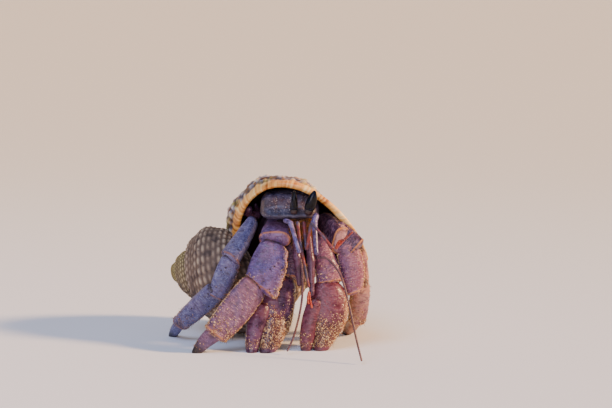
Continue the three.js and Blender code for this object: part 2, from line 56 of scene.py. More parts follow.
SHIFT = np.array([1.105, -4.286, 0.0])  # mm: moves the middle of the crab over the origin
CAMERA_PLACE = [8.75, -344.4, 71.64]
CAMERA_PITCH = 6.0  # degrees below level
LENS = 82.35  # mm, on a sensor 36 mm wide


def metres(points):
    """Places in the crab's own millimetres as metres in the frame."""
    return (np.asarray(points, dtype=float) + SHIFT) / 1000


def placed(name, data):
    """A new object in the scene, at the origin and unscaled."""
    made = bpy.data.objects.new(name, data)
    bpy.context.scene.collection.objects.link(made)
    return made


view = bpy.data.cameras.new("view")
view.lens = LENS
view.sensor_width = 36
view.clip_start = 0.01
camera = placed("view", view)
camera.location = metres(CAMERA_PLACE)
camera.rotation_euler = (math.radians(90 - CAMERA_PITCH), 0, 0)
bpy.context.scene.camera = camera

# %% [markdown]
# ## Helpers for colours and nodes
# Colours are picked as they look on a screen and turned to linear light. One function adds
# any node with its settings and links, which keeps each material short enough to read.

# %% Colours and nodes


def colour(code):
    """An sRGB hex colour as linear light with alpha."""
    parts = [int(code[i:i + 2], 16) / 255 for i in (1, 3, 5)]
    linear = [c / 12.92 if c <= 0.04045 else ((c + 0.055) / 1.055) ** 2.4 for c in parts]
    return (*linear, 1.0)


def add(tree, kind, inputs=None, stops=None, **settings):
    """Add one node: settings are its own, inputs are values or other nodes' sockets."""
    made = tree.nodes.new(kind)
    for name, value in settings.items():
        setattr(made, name, value)
    for key, value in (inputs or {}).items():
        if isinstance(value, bpy.types.NodeSocket):
            tree.links.new(value, made.inputs[key])
        else:
            made.inputs[key].default_value = value
    if stops:
        ramp = made.color_ramp
        while len(ramp.elements) < len(stops):
            ramp.elements.new(1.0)
        for element, (place, code) in zip(ramp.elements, stops):
            element.position = place
            element.color = colour(code)
    return made


def new_material(name):
    """A new material, its node tree and its surface shader."""
    material = bpy.data.materials.new(name)
    material.use_nodes = True
    return material, material.node_tree, material.node_tree.nodes["Principled BSDF"]


MIX_A, MIX_B, MIX_OUT = 6, 7, 2  # colour sockets of the Mix node


def mixed(tree, factor, first, second, blend="MIX"):
    """Colour socket that mixes two colours; a hex code stands for a plain colour."""
    sides = {MIX_A: first, MIX_B: second}
    sides = {key: colour(c) if isinstance(c, str) else c for key, c in sides.items()}
    return add(tree, "ShaderNodeMix", {0: factor, **sides}, data_type="RGBA",
               blend_type=blend).outputs[MIX_OUT]


def layered(tree, tint, *layers):
    """Lay colours over a tint in turn, each as far as its own factor says."""
    for factor, over in layers:
        tint = mixed(tree, factor, tint, over)
    return tint


def combined(tree, operation, first, second):
    """Socket with the sum, product or other operation of two values."""
    return add(tree, "ShaderNodeMath", {0: first, 1: second}, operation=operation).outputs[0]


def ranged(tree, value, low, high, to_low=0.0, to_high=1.0):
    """Socket that eases low..high to to_low..to_high, held at its ends."""
    keys = {0: value, 1: low, 2: high, 3: to_low, 4: to_high}
    return add(tree, "ShaderNodeMapRange", keys, interpolation_type="SMOOTHSTEP").outputs[0]


def per(mm):
    """Scale of a pattern whose cells are this many millimetres, on metre coordinates."""
    return 1000.0 / mm


def noise(tree, place, mm, detail=3.0):
    inputs = {"Vector": place, "Scale": per(mm), "Detail": detail}
    return add(tree, "ShaderNodeTexNoise", inputs).outputs[0]


def on_object(tree):
    """Socket with the place on the object, in metres."""
    return add(tree, "ShaderNodeTexCoord").outputs["Object"]


def surfaced(tree, shader, tint, height, deep, strength=1.0):
    """Join a colour and a relief, so many millimetres deep, to the surface shader."""
    relief = {"Height": height, "Distance": deep / 1000, "Strength": strength}
    bump = add(tree, "ShaderNodeBump", relief)
    tree.links.new(tint, shader.inputs["Base Color"])
    tree.links.new(bump.outputs[0], shader.inputs["Normal"])


def number(tree, name):
    """Socket that reads one of the numbers kept on a piece's points."""
    return add(tree, "ShaderNodeAttribute", attribute_name=name).outputs["Fac"]


# %% [markdown]
# ## Helpers for surfaces
# Limbs, feelers and the shell are all tubes: rings of points along a path, closed by a pole
# at each end. Working the points out with arrays keeps thousands of them quick. Each point
# also carries numbers, such as how near it is to a margin, which materials and granules read.

# %% Tubes


def mesh_piece(name, points, faces, numbers=None):
    """A smooth mesh object from points in the crab's millimetres."""
    mesh = bpy.data.meshes.new(name)
    mesh.from_pydata(metres(points).tolist(), [], faces)
    keep_numbers(mesh, numbers or {})
    mesh.shade_smooth()
    return placed(name, mesh)


def keep_numbers(mesh, numbers):
    """Keep a number, or a place of three numbers, on every point of a mesh."""
    for key, values in numbers.items():
        values = np.asarray(values, dtype=np.float32)
        kind, field = ("FLOAT_VECTOR", "vector") if values.ndim == 2 else ("FLOAT", "value")
        mesh.attributes.new(key, kind, "POINT").data.foreach_set(field, values.ravel())


def turned_outwards(points, faces):
    """The faces, reversed if their normals point inwards."""
    a, b, c = (points[np.array([face[i] for face in faces])] for i in range(3))
    middle = points.mean(axis=0)
    volume = np.einsum("ij,ij->i", a - middle, np.cross(b - middle, c - middle)).sum()
    return faces if volume > 0 else [face[::-1] for face in faces]


def tube(name, rings, numbers=None):
    """A closed tube from an array of rings (rows, columns, 3); numbers are (rows, columns)."""
    rows, columns = rings.shape[:2]
    points = np.vstack([rings.reshape(-1, 3), rings[0].mean(axis=0), rings[-1].mean(axis=0)])
    start, end = rows * columns, rows * columns + 1
    near = np.arange((rows - 1) * columns)
    beside = near - near % columns + (near + 1) % columns
    faces = np.stack([near, beside, beside + columns, near + columns], axis=1).tolist()
    column = np.arange(columns)
    after = (column + 1) % columns
    last = (rows - 1) * columns
    faces += np.stack([after, column, np.full(columns, start)], axis=1).tolist()
    faces += np.stack([last + column, last + after, np.full(columns, end)], axis=1).tolist()
    spread = {}
    for key, values in (numbers or {}).items():
        ends = [values[0].mean(axis=0, keepdims=True), values[-1].mean(axis=0, keepdims=True)]
        spread[key] = np.concatenate([values.reshape(-1, *values.shape[2:]), *ends])
    return mesh_piece(name, points, turned_outwards(points, faces), spread)


def ring_angles(count):
    """Even angles round a ring, without the last that would repeat the first."""
    return np.linspace(0, 2 * math.pi, count, endpoint=False)


def unit(vector):
    return np.asarray(vector, dtype=float) / np.linalg.norm(vector)


def through(values, t):
    """The parabola through three values at 0, 1/2 and 1."""
    near, middle, far = values
    return near * (1 - t) * (1 - 2 * t) + middle * 4 * t * (1 - t) + far * t * (2 * t - 1)


def smooth(low, high, value):
    """0 at low, 1 at high, and a soft step between them; low may be the greater."""
    t = np.clip((value - low) / (high - low), 0, 1)
    return t * t * (3 - 2 * t)


def waves(points, size, seed):
    """Soft uneven swells of about this size (mm) over an array of points, from -1 to 1."""
    random = np.random.default_rng(seed)
    total = np.zeros(points.shape[:-1])
    for _ in range(6):
        across = unit(random.normal(size=3)) * 2 * math.pi / (size * random.uniform(0.7, 1.5))
        total += np.sin(points @ across + random.uniform(0, 2 * math.pi))
    return total / 6


# %% [markdown]
# ## What every finished piece needs
# A piece names the solid that it stands for, and its material. Every piece rides on the one rigid body,
# because nothing on this model moves.

# %% Finish a piece


def finish(piece, material, slot, *nodes):
    """Give a piece its material and tie it to the frame."""
    piece.data.materials.clear()
    piece.data.materials.append(material)
    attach(piece, "root")
    if nodes:
        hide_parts(*nodes)


def skin_slot(name):
    """The finish slot of a limb, by its name."""
    if "claw" in name:
        return "claw_skin"
    return "right_leg_skin" if "right" in name else "left_leg_skin"


# %% [markdown]
# ## Cuticle
# A crab's armour is chitin hardened with lime. On this crab it is lilac-blue to burgundy, sown with fine
# pale granules and dark pits, and rust-orange along the far edge of each piece, where it thins into the
# joint's skin. One recipe makes all of it, with its own colours for each limb: cells make granules and
# pits, slow noise makes the hue drift, and the numbers on the points place the orange fringe, the pale
# margins, which are partly worn and partly painted warm rim light, and a band of painted shade at the
# base of each piece, where it sits in the joint.

# %% Cuticle recipe
# dark of the pits and blotches, and of the painted shade band at the base of each piece
PIT_AND_SHADE = "#2a1016"
SHADE = "#38211f"
HORN = "#1c1013"
ROW_SHAPE = (0.6, 0.6, 1.7)  # squeezes cells into short rows across a limb


def cell_dots(tree, place, mm, wide, sharp=0.28):
    """Two sockets: rounded dots on cells of this size, and one random number for each cell."""
    cells = add(tree, "ShaderNodeTexVoronoi", {"Vector": place, "Scale": per(mm)})
    dots = ranged(tree, cells.outputs["Distance"], wide, wide - sharp)
    return dots, add(tree, "ShaderNodeSeparateColor", {0: cells.outputs["Color"]}).outputs[0]


def cuticle(name, base, second, pale, warm, granule=0.45, rough=0.4, relief=0.12, fleck=0.7,
            striae=0.3):
    """Granular armour: two drifting hues, pale granules, dark pits, a warm fringe, painted rim light on
    the margins and painted shade at each piece's base.
    """
    material, tree, shader = new_material(name)
    place = on_object(tree)
    local = add(tree, "ShaderNodeAttribute", attribute_name="local").outputs["Vector"]
    drift, blotch = noise(tree, place, 5.5), noise(tree, place, 1.2, 4.0)
    squeezed = add(tree, "ShaderNodeVectorMath", {0: local, 1: ROW_SHAPE}, operation="MULTIPLY")
    rows = cell_dots(tree, squeezed.outputs[0], 0.8, 0.55, 0.4)[0]
    rows = combined(tree, "MULTIPLY", rows, striae)
    dots, chance = cell_dots(tree, place, granule, 0.42)
    grains = combined(tree, "MULTIPLY", dots, ranged(tree, chance, 0.3, 0.85, 0.0, fleck))
    edge = number(tree, "edge")
    pit, rare = cell_dots(tree, place, 1.1, 0.26, 0.1)
    often = ranged(tree, combined(tree, "ADD", rare, edge), 0.75, 0.95)
    pit = combined(tree, "MULTIPLY", pit, often)
    ragged = combined(tree, "MULTIPLY", number(tree, "fringe"), ranged(tree, blotch, 0.34, 0.5))
    tint = layered(tree, base,
                   (ranged(tree, drift, 0.42, 0.6), second),
                   (ranged(tree, blotch, 0.5, 0.75, 0.0, 0.3), pale),
                   (ranged(tree, blotch, 0.52, 0.3, 0.0, 0.5), PIT_AND_SHADE),
                   (rows, pale),
                   (grains, pale),
                   (pit, PIT_AND_SHADE),
                   (ranged(tree, number(tree, "grain"), 0.2, 0.9, 0.0, 0.6), SHADE),
                   # painted warm rim light: the margins turn paler and warmer, partly also real worn
                   # edges
                   (ranged(tree, edge, 0.4, 1.0, 0.0, 0.75), mixed(tree, 0.4, pale, warm)),
                   # painted shade: a dark band at the base of each piece, where it sits in the joint
                   (combined(tree, "MULTIPLY", number(tree, "socket"), 0.85), PIT_AND_SHADE),
                   (ragged, warm),
                   (number(tree, "horn"), HORN))
    height = combined(tree, "ADD", dots, combined(tree, "MULTIPLY", rows, 3.0))
    height = combined(tree, "SUBTRACT", combined(tree, "ADD", height, blotch), pit)
    surfaced(tree, shader, tint, height, relief)
    tree.links.new(ranged(tree, blotch, 0.3, 0.7, rough - 0.08, rough + 0.12),
                   shader.inputs["Roughness"])
    return material


# Cool, chalky blue-grey, thick with fine granules.
LILAC = cuticle("granular_cuticle_lilac", "#565480", "#645880", "#a8a6cc", "#96603c",
                granule=0.36, fleck=1.0)
# Deep violet that drifts to wine.
VIOLET = cuticle("granular_cuticle_violet", "#5a4478", "#704c70", "#a088b8", "#b8703a")
# Dull purple, the step between the cool and the warm limbs.
MAUVE = cuticle("granular_cuticle_mauve", "#704860", "#604668", "#b08a9e", "#c07a42")
# Wine red with golden margins.
BURGUNDY = cuticle("granular_cuticle_burgundy", "#84485c", "#6c4262", "#c8969a", "#d88c48")
# Warm pink-brown: painted sunlight, the wine red of the left legs as on the side turned to the sun.
SUNLIT_ROSE = cuticle("granular_cuticle_rose_painted_sunlight", "#a8705f", "#8a5460", "#dcae94", "#c88048")
# Nearly black plum: painted shade, which makes the inner face of the left merus pieces look deep.
SHADED_PLUM = cuticle("granular_cuticle_plum_painted_shade", "#3c2038", "#482640", "#b48ca0", "#c07a40", fleck=0.3)
# Smoother and shinier than the legs, so that the claw looks harder.
PLUM = cuticle("smooth_claw_cuticle_plum", "#5a2434", "#662e40", "#94606e", "#b06a2e",
               granule=0.6, rough=0.34, relief=0.05, fleck=0.35)
# The same smooth armour in a bluer hue.
PURPLE = cuticle("smooth_claw_cuticle_purple", "#4c2a48", "#5c3348", "#80587c", "#9a5426",
                 granule=0.7, rough=0.3, relief=0.03, fleck=0.25)
print("cuticles:", len([m for m in bpy.data.materials if "cuticle" in m.name]))

# %% [markdown]
# ## One limb piece
# A limb piece starts in a rounded end, swells or tapers as a parabola through three sizes,
# and ends in a blunt knuckle with a slightly raised rim. Its cross-section is a rounded box.
# Crests of blunt teeth stand along chosen margins. The function returns rings of points and
# the numbers that go with them.

# %% Limb piece
SQUARENESS = 0.64  # of the cross-section: 1 is an ellipse
COLUMNS = 72
NEAR_END, FAR_END = 0.5, 0.3  # how long the rounded ends are, in thicknesses


def limb(start, end, side, width, thick, slant=0.0, bow=0.0):
    """The sizes of one limb piece, as the solids have them."""
    return dict(start=np.array(start, float), end=np.array(end, float), side=side, width=width,
                thick=thick, slant=slant, bow=bow)


def crest(angle, height=0.35, teeth=14, spread=0.28):
    return dict(angle=angle, height=height, teeth=teeth, spread=spread)


def rounded(value, power=SQUARENESS):
    return np.sign(value) * np.abs(value) ** power


def axes_of(piece):
    """Unit vectors along, across and out of a limb piece, and its length."""
    along = unit(piece["end"] - piece["start"])
    out = unit(np.cross(piece["side"], along))
    return along, np.cross(along, out), out, np.linalg.norm(piece["end"] - piece["start"])


def stations(length, near, far):
    """Places along a piece and the share of its full section there, as two columns."""
    turn = np.linspace(0.08, 1, 10) * math.pi / 2
    t = np.concatenate([near * (1 - np.cos(turn)), np.linspace(near, 1 - far, 66)[1:-1],
                        1 - far * (1 - np.cos(turn[::-1]))])
    cap = np.sin(turn) ** 0.6
    share = np.concatenate([cap, np.ones(64), cap[::-1]])
    return t[:, None], share[:, None]


def limb_rings(piece, crests=(), swell=0.09, seed=1, grain=(1.0, 0.0), horn=False, collar=0.2,
               power=SQUARENESS, pale_end=0.0):
    """Rings of one limb piece, with the numbers that its material and granules read."""
    along, side, out, length = axes_of(piece)
    near, far = NEAR_END * piece["thick"][0], FAR_END * piece["thick"][2]
    t, share = stations(length, near / length, far / length)
    to_end = (1 - t) * length
    angle = ring_angles(COLUMNS)[None, :]
    across = through(piece["width"], t) / 2 * share * rounded(np.cos(angle), power)
    lift = through(piece["thick"], t) / 2 * share * rounded(np.sin(angle), power)
    open_part = smooth(0.02, 0.16, t) * smooth(1.0, 0.93, t)
    rim = 0.0 if horn else collar * np.exp(-(to_end - 0.8) ** 2 / 0.08)
    margin = 0 * angle
    for one in crests:
        gap = np.angle(np.exp(1j * (angle - one["angle"])))
        near_it = np.exp(-(gap / one["spread"]) ** 2)
        uneven = t * one["teeth"] + 0.25 * np.sin(9 * t + seed)
        tooth = (1 - uneven % 1) ** 0.7 * (0.75 + 0.25 * np.sin(5 * uneven + seed))
        push = one["height"] * near_it * (0.35 + 0.65 * tooth) * open_part
        across = across + push * np.cos(one["angle"])
        lift = lift + push * np.sin(one["angle"])
        margin = np.maximum(margin, near_it * open_part)
    forward = t * length + across * piece["slant"] * t * t
    points = (piece["start"] + along * forward[..., None] + out * lift[..., None]
              + side * (piece["bow"] * 4 * t * (1 - t) + across)[..., None])
    outward = side * np.cos(angle)[..., None] + out * np.sin(angle)[..., None]
    lump = swell * open_part * waves(points, 3.0, seed) + rim
    points = points + outward * lump[..., None]
    flat = 0 * t + 0 * angle
    high = smooth(0.6, 1.5, points[..., 2])  # nothing grows where a foot meets the floor
    high = high * np.clip(0.75 + 0.9 * waves(points, 2.4, seed + 50), 0.1, 1.2)
    numbers = {
        "edge": np.maximum(margin + flat, pale_end * smooth(1 - 0.6 / length, 1 - 0.25 / length, t)),
        "fringe": (0 if horn else 1) * np.exp(-(to_end - 0.72) ** 2 / 0.035) + flat,
        "grain": high * (grain[0] * margin + grain[1] * smooth(0.5, 1.0, t)),
        "horn": smooth(0.45, 0.85, t) * (1 if horn else 0) + flat,
        # painted shade band: 1 at the base of the piece, where it sits in the joint
        "socket": smooth(1.3 / length, 0.5 / length, t) + flat,
        "local": np.stack([across + flat, lift + flat, forward + flat], axis=-1) / 1000,
    }
    return points, numbers


def on_floor(rings):
    """Flatten what would reach below the floor, as the small flats under the feet."""
    rings[..., 2] = np.maximum(rings[..., 2], 0.0)
    return rings


# %% [markdown]
# ## The walking legs
# Each walking leg shows four pieces: the merus by the body, the carpus at the knee, the
# propodus or shin, and the curved dactyl that ends in a dark horny tip. The sizes are the
# legs' own, in millimetres, as the solids have them. The crests are the toothed margins
# that catch the light. The crab's own right is on the viewer's left.

# %% Walking legs
FRONT, BACK = 0.0, math.pi  # angles of the margins round a limb piece
LEGS = {
    "leg_right_front": {
        "merus": limb([2.6, 7.4, 30.8], [0.9, -3.0, 26.6], [1, 0.1, 0.2], [5, 7.2, 7.6],
                      [4, 4.8, 4.0], 0.1),
        "carpus": limb([0.9, -1.9, 26.4], [-2.8, -6.4, 15.2], [1, -0.25, -0.1], [5.8, 8.6, 8],
                       [3.8, 4.6, 4], 0.5, 0.3),
        "propodus": limb([-3.2, -6.2, 17], [-13.8, -9.6, 4.2], [1, 0, -1], [6.4, 7.3, 5.6],
                         [3.8, 4, 3], 0, 0.2),
        "dactyl": limb([-12.2, -9, 5.6], [-18.6, -9.2, -0.7], [1, 0, -0.8], [4.4, 3.6, 1.7],
                       [2.8, 2.4, 1.5], 0, -0.5),
    },
    "leg_right_rear": {
        "merus": limb([-4.4, 9.2, 30.8], [-10.4, -1, 21.6], [1, -0.3, 0.4], [2, 4.4, 5.6],
                      [3, 3.8, 3.8], 0.4, 0.3),
        "carpus": limb([-9.5, -0.6, 22.6], [-13.8, -0.8, 11.8], [1, 0, -0.3], [4.4, 5, 3.6],
                       [3.4, 3.8, 3.4], 0.1, -0.1),
        "propodus": limb([-13.2, -1.4, 14.4], [-23.7, 6.2, 4], [0.7, 0.3, -0.8], [4.8, 5.1, 3.7],
                         [3.2, 3.2, 2.6]),
        "dactyl": limb([-22.7, 5.4, 5], [-26, 12.4, -0.7], [1, 0.2, -0.6], [3, 2.7, 1.7],
                       [2.4, 2.1, 1.5], 0, -0.3),
    },
    "leg_left_front": {
        "merus": limb([12.4, 8.4, 30], [17.7, -2.6, 26.2], [0, 0.35, 1], [5.4, 7.2, 6.4],
                      [3.6, 4.2, 4.4], -0.15),
        "carpus": limb([18.3, -1.2, 26.4], [20.8, -2.4, 13.2], [1, 0, 0.2], [4.4, 5.6, 3.2],
                       [4.2, 4.6, 3.4], -0.2, 0.7),
        "propodus": limb([22.2, -1.2, 16.6], [21.6, 7.4, 4.4], [1, 0.3, 0.2], [4, 4.5, 3.6],
                         [4.4, 4.8, 3.6], 0, 0.3),
        "dactyl": limb([21.7, 6.4, 5.6], [18.6, 15.2, -0.7], [1, 0.5, 0], [2.8, 2.5, 1.7],
                       [3, 2.4, 1.5], 0, 0.4),
    },
    "leg_left_rear": {
        "merus": limb([15.6, 0.2, 30.2], [21.8, -2.4, 24.4], [-0.2, 0.35, 1], [3.6, 5, 4.8],
                      [2, 2.7, 3.2], -0.1),
        "carpus": limb([21.6, -0.4, 24.8], [23, 5.8, 13.2], [1, 0.2, 0.3], [2.8, 3.2, 2.8],
                       [3.2, 3.8, 3.2], 0, 0.2),
        "propodus": limb([22.9, 5.8, 15], [21.8, 16, 4.4], [1, 0.3, 0.2], [2.8, 3.2, 2.8],
                         [3.6, 3.9, 3]),
        "dactyl": limb([21.9, 15, 5.4], [19.2, 22.6, -0.7], [1, 0.4, 0], [2.4, 2.2, 1.7],
                       [2.5, 2.1, 1.5], 0, 0.3),
    },
}
LEG_SKINS = {
    "leg_right_front": dict(merus=VIOLET, carpus=VIOLET, propodus=MAUVE, dactyl=MAUVE),
    "leg_right_rear": dict.fromkeys(("merus", "carpus", "propodus", "dactyl"), LILAC),
    "leg_left_front": dict(merus=SHADED_PLUM, carpus=BURGUNDY, propodus=SUNLIT_ROSE, dactyl=SUNLIT_ROSE),
    "leg_left_rear": dict(merus=SHADED_PLUM, carpus=SUNLIT_ROSE, propodus=SUNLIT_ROSE, dactyl=SUNLIT_ROSE),
}
MARGINS = {  # toothed margins, by leg and piece
    "leg_right_front": dict(merus=[crest(FRONT, 0.25, 8)], carpus=[crest(FRONT, 0.75, 7, 0.34)],
                            propodus=[crest(FRONT, 0.35, 17), crest(BACK, 0.15, 16)]),
    "leg_right_rear": dict(merus=[crest(FRONT, 0.35, 12), crest(BACK, 0.25, 12)],
                           carpus=[crest(FRONT, 0.55, 11)], propodus=[crest(FRONT, 0.5, 14)]),
    "leg_left_front": dict(merus=[crest(FRONT, 0.3, 12)],
                           carpus=[crest(BACK, 0.4, 16), crest(FRONT, 0.2, 14)],
                           propodus=[crest(BACK, 0.35, 14), crest(FRONT, 0.2, 14)]),
    "leg_left_rear": dict(merus=[crest(BACK, 0.2, 12)], carpus=[crest(FRONT, 0.25, 12)],
                          propodus=[crest(FRONT, 0.25, 14)]),
}
LEG_GRAIN = dict(merus=(0.25, 0.0), carpus=(1.0, 0.12), propodus=(1.0, 0.75), dactyl=(0.8, 0.9))
hosts = {}  # finished pieces that granules and bristles grow on
for leg, parts in LEGS.items():
    for part, piece in parts.items():
        name = f"{leg}_{part}"
        rings, numbers = limb_rings(piece, MARGINS[leg].get(part, ()), seed=len(hosts),
                                    grain=LEG_GRAIN[part], horn=part == "dactyl",
                                    pale_end=0.9 if name == "leg_left_front_merus" else 0.0)
        hosts[name] = tube(name + "_armour", on_floor(rings), numbers)
        finish(hosts[name], LEG_SKINS[leg][part], skin_slot(leg), name)
print("leg pieces:", len(hosts))

# %% [markdown]
# ## The claws
# The claws hang in front of the mouth with their fingertips on the floor. A palm and its
# fixed finger are one piece of armour, so the two tubes are fused with a voxel remesh and
# smoothed. The movable finger is a piece of its own. After a remesh the points are new, so
# their numbers are measured again from the sizes.

# %% Claws
CLAWS = {
    "claw_right": {
        "merus": limb([5, 10.4, 22.8], [4.8, 3, 22.6], [1, 0, 0], [4.4, 5.2, 5.4], [4.4, 4.8, 4.6]),
        "carpus": limb([5, 4.4, 25.6], [4, 1, 16.4], [1, 0, 0], [4, 5.8, 5.8], [4, 4.8, 4.4], 0, 0.2),
        "palm": limb([3.5, 0.4, 17.4], [-0.2, -4.2, 4.2], [1, 0, -0.3], [5.2, 8.8, 8.8],
                     [4.2, 5.2, 4], 0, -0.1),
        "fixed": limb([1.6, -3.4, 8.2], [-1.6, -9.4, -1.4], [1, 0, -0.3], [6, 5.4, 2.2],
                      [4, 3.8, 2.1], 0, 0.5),
        "finger": limb([-1.8, -3.2, 11.2], [-4.6, -9, -1.2], [1, 0, -0.3], [4.4, 4.6, 2.2],
                       [4, 3.6, 2], 0, -0.5),
    },
    "claw_left": {
        "merus": limb([10.4, 10, 23.6], [12.6, 2.6, 23.4], [1, 0.3, 0], [4.4, 5, 5.2], [4.4, 5, 5]),
        "carpus": limb([12.6, -0.2, 28.4], [15, -2.8, 15.8], [1, 0, 0.1], [1.6, 5.2, 7.2],
                       [2.6, 5, 5], 0, -0.2),
        "palm": limb([14.4, -2.4, 17], [12.9, -4.8, 3.2], [1, 0, 0], [6, 10.4, 7.6],
                     [5, 6.6, 4.6], -0.1, 0.3),
        "fixed": limb([14.2, -4, 7.4], [11.6, -6.2, -1.4], [1, 0, 0.4], [6.8, 5.2, 2.4],
                      [5, 4.6, 2.6], 0, 0.4),
        "finger": limb([11.9, -4.2, 13], [8.6, -6.2, -1.4], [1, 0, 0.1], [4, 4.4, 2.2],
                       [5, 4.6, 2.6], 0, -0.6),
    },
}
CLAW_SKINS = {"claw_right": dict(merus=PURPLE, carpus=MAUVE, palm=PURPLE, finger=PURPLE),
              "claw_left": dict(merus=PLUM, carpus=BURGUNDY, palm=PLUM, finger=PLUM)}
VOXEL = 0.00022  # metres
CLAW_SQUARENESS = 0.88  # claws are rounder than legs


def evaluated(piece):
    """A plain mesh with all of a piece's modifiers applied; the piece itself is removed."""
    graph = bpy.context.evaluated_depsgraph_get()
    mesh = bpy.data.meshes.new_from_object(piece.evaluated_get(graph))
    bpy.data.objects.remove(piece)
    mesh.shade_smooth()
    return mesh


def fused(name, first, second):
    """One smooth closed surface round two overlapping pieces."""
    with bpy.context.temp_override(active_object=first, selected_editable_objects=[first, second]):
        bpy.ops.object.join()
    remesh = first.modifiers.new("fuse", "REMESH")
    remesh.mode = "VOXEL"
    remesh.voxel_size = VOXEL
    soften = first.modifiers.new("soften", "SMOOTH")
    soften.iterations = 7
    return placed(name, evaluated(first))


def measured(mesh, palm, finger):
    """Put the palm's lowest points on the floor and give all points their numbers."""
    points = np.empty(len(mesh.vertices) * 3)
    mesh.vertices.foreach_get("co", points)
    points = points.reshape(-1, 3) * 1000 - SHIFT
    points[:, 2] = np.maximum(points[:, 2], 0)
    mesh.vertices.foreach_set("co", metres(points).ravel())
    along, side, out, length = axes_of(palm)
    t = (points - palm["start"]) @ along / length
    half = through(palm["width"], np.clip(t, 0, 1)) / 2
    across = (points - palm["start"]) @ side
    margin = smooth(0.72, 1.0, np.abs(across / half)) * smooth(0.1, 0.3, t)
    above_floor = smooth(0.6, 1.5, points[:, 2])
    tip_along, _, _, tip_length = axes_of(finger)
    tip = (points - finger["start"]) @ tip_along / tip_length
    local = np.stack([across, (points - palm["start"]) @ out, t * length], axis=1)
    keep_numbers(mesh, {"edge": margin, "fringe": 0 * t,
                        "grain": above_floor * 0.9 * (margin + smooth(0.45, 0.95, t)),
                        "horn": smooth(0.75, 1.0, tip), "local": local / 1000})


for claw, parts in CLAWS.items():
    made = {}
    for part, piece in parts.items():
        upper = part in ("merus", "carpus")
        rings, numbers = limb_rings(piece, seed=len(hosts) + len(made),
                                    grain=(1.0, 0.3 if upper else 0.9),
                                    collar=0.2 if upper else 0.0, power=CLAW_SQUARENESS)
        if part == "finger":
            numbers["fringe"] = numbers["fringe"] * 0
            horny = smooth(0.75, 1.0, np.linspace(0, 1, len(rings)))
            numbers["horn"] = numbers["fringe"] + horny[:, None]
        if part not in ("palm", "fixed"):  # these two are fused first
            rings = on_floor(rings)
        made[part] = tube(f"{claw}_{part}_armour", rings, numbers)
    made["palm"] = fused(f"{claw}_palm_armour", made["palm"], made.pop("fixed"))
    measured(made["palm"].data, parts["palm"], parts["fixed"])
    for part, piece in made.items():
        hosts[f"{claw}_{part}"] = piece
        finish(piece, CLAW_SKINS[claw][part], skin_slot(claw), f"{claw}_{part}")
print("limb pieces:", len(hosts))

# %% [markdown]
# ## Skin in the joints
# Between two pieces of armour the cuticle stays thin and soft, and shows as a dark brown
# fold. A short tube in each joint, a little slimmer than its neighbours, closes the gap.

# %% Joint skin
# Dull and dark, so that it parts one piece of armour from the next.
JOINT_SKIN = cuticle("soft_joint_skin", "#4e2418", "#3c1a1c", "#a8602e", "#8e4a22",
                     granule=0.3, rough=0.5, fleck=0.5)
CHAIN = ("merus", "carpus", "propodus", "palm", "dactyl")
FOLD_SHARE = 0.7  # of its neighbours' size
FOLD_REACH = 2.0  # mm that it runs inside each neighbour
SHORTEST_FOLD = 0.8  # mm


def joint_skin(before, after):
    """A short limb piece that runs from inside one piece to inside the next."""
    way_out, way_in = axes_of(before)[0], axes_of(after)[0]
    ends = [(before[key][2], after[key][0]) for key in ("width", "thick")]
    sizes = [FOLD_SHARE * np.array([near, (near + far) / 2, far]) for near, far in ends]
    return limb(before["end"] - way_out * FOLD_REACH, after["start"] + way_in * FOLD_REACH,
                before["side"], *sizes)


for name, parts in {**LEGS, **CLAWS}.items():
    order = [key for key in CHAIN if key in parts]
    for first, second in zip(order, order[1:]):
        fold = joint_skin(parts[first], parts[second])
        if np.linalg.norm(fold["end"] - fold["start"]) < SHORTEST_FOLD:
            continue
        rings, numbers = limb_rings(fold, swell=0.12, collar=0.0)
        half = {key: values[:, ::2] for key, values in numbers.items()}
        piece = tube(f"{name}_{second}_joint_skin", rings[:, ::2], half)
        finish(piece, JOINT_SKIN, skin_slot(name))

# %% [markdown]
# ## The shell
# The turban shell is a helicospiral: one cross-section that turns about an axis, moves along
# it and grows by the same factor every turn. Near the mouth it opens at its base and closes
# in by the suture. The outside rolls over a thick smooth lip and runs back inside as the
# hollow, so the whole stretch up to the mouth is a single tube of rings.

# %% Shell spiral
SHELL = dict(apex=[-27.3, 19.4, 15.6], yaw=18, rise=4.4, mouth_turn=18, growth=2.14, centre_radius=6.9,
             centre_depth=34.0, depth_power=1.08, long=21.4, short=16.3, egg=0.12, tilt=52, lean=0.04,
             flare=0.08, pinch=0.23, pinch_at=-53, flare_turns=0.04, wall=1.5, lip=2.2, core=4.5,
             hollow_core=7.5, ribs=8, rib_height=0.4)


def shell_axes():
    """Rows are the shell's own axes: up, to the back, and to the tip of the spire."""
    yaw, rise = math.radians(SHELL["yaw"]), math.radians(SHELL["rise"])
    to_tip = np.array([-math.cos(yaw) * math.cos(rise), math.sin(yaw) * math.cos(rise),
                       -math.sin(rise)])
    back = unit(np.cross(to_tip, [0, 0, 1]))
    return np.array([np.cross(back, to_tip), back, to_tip])


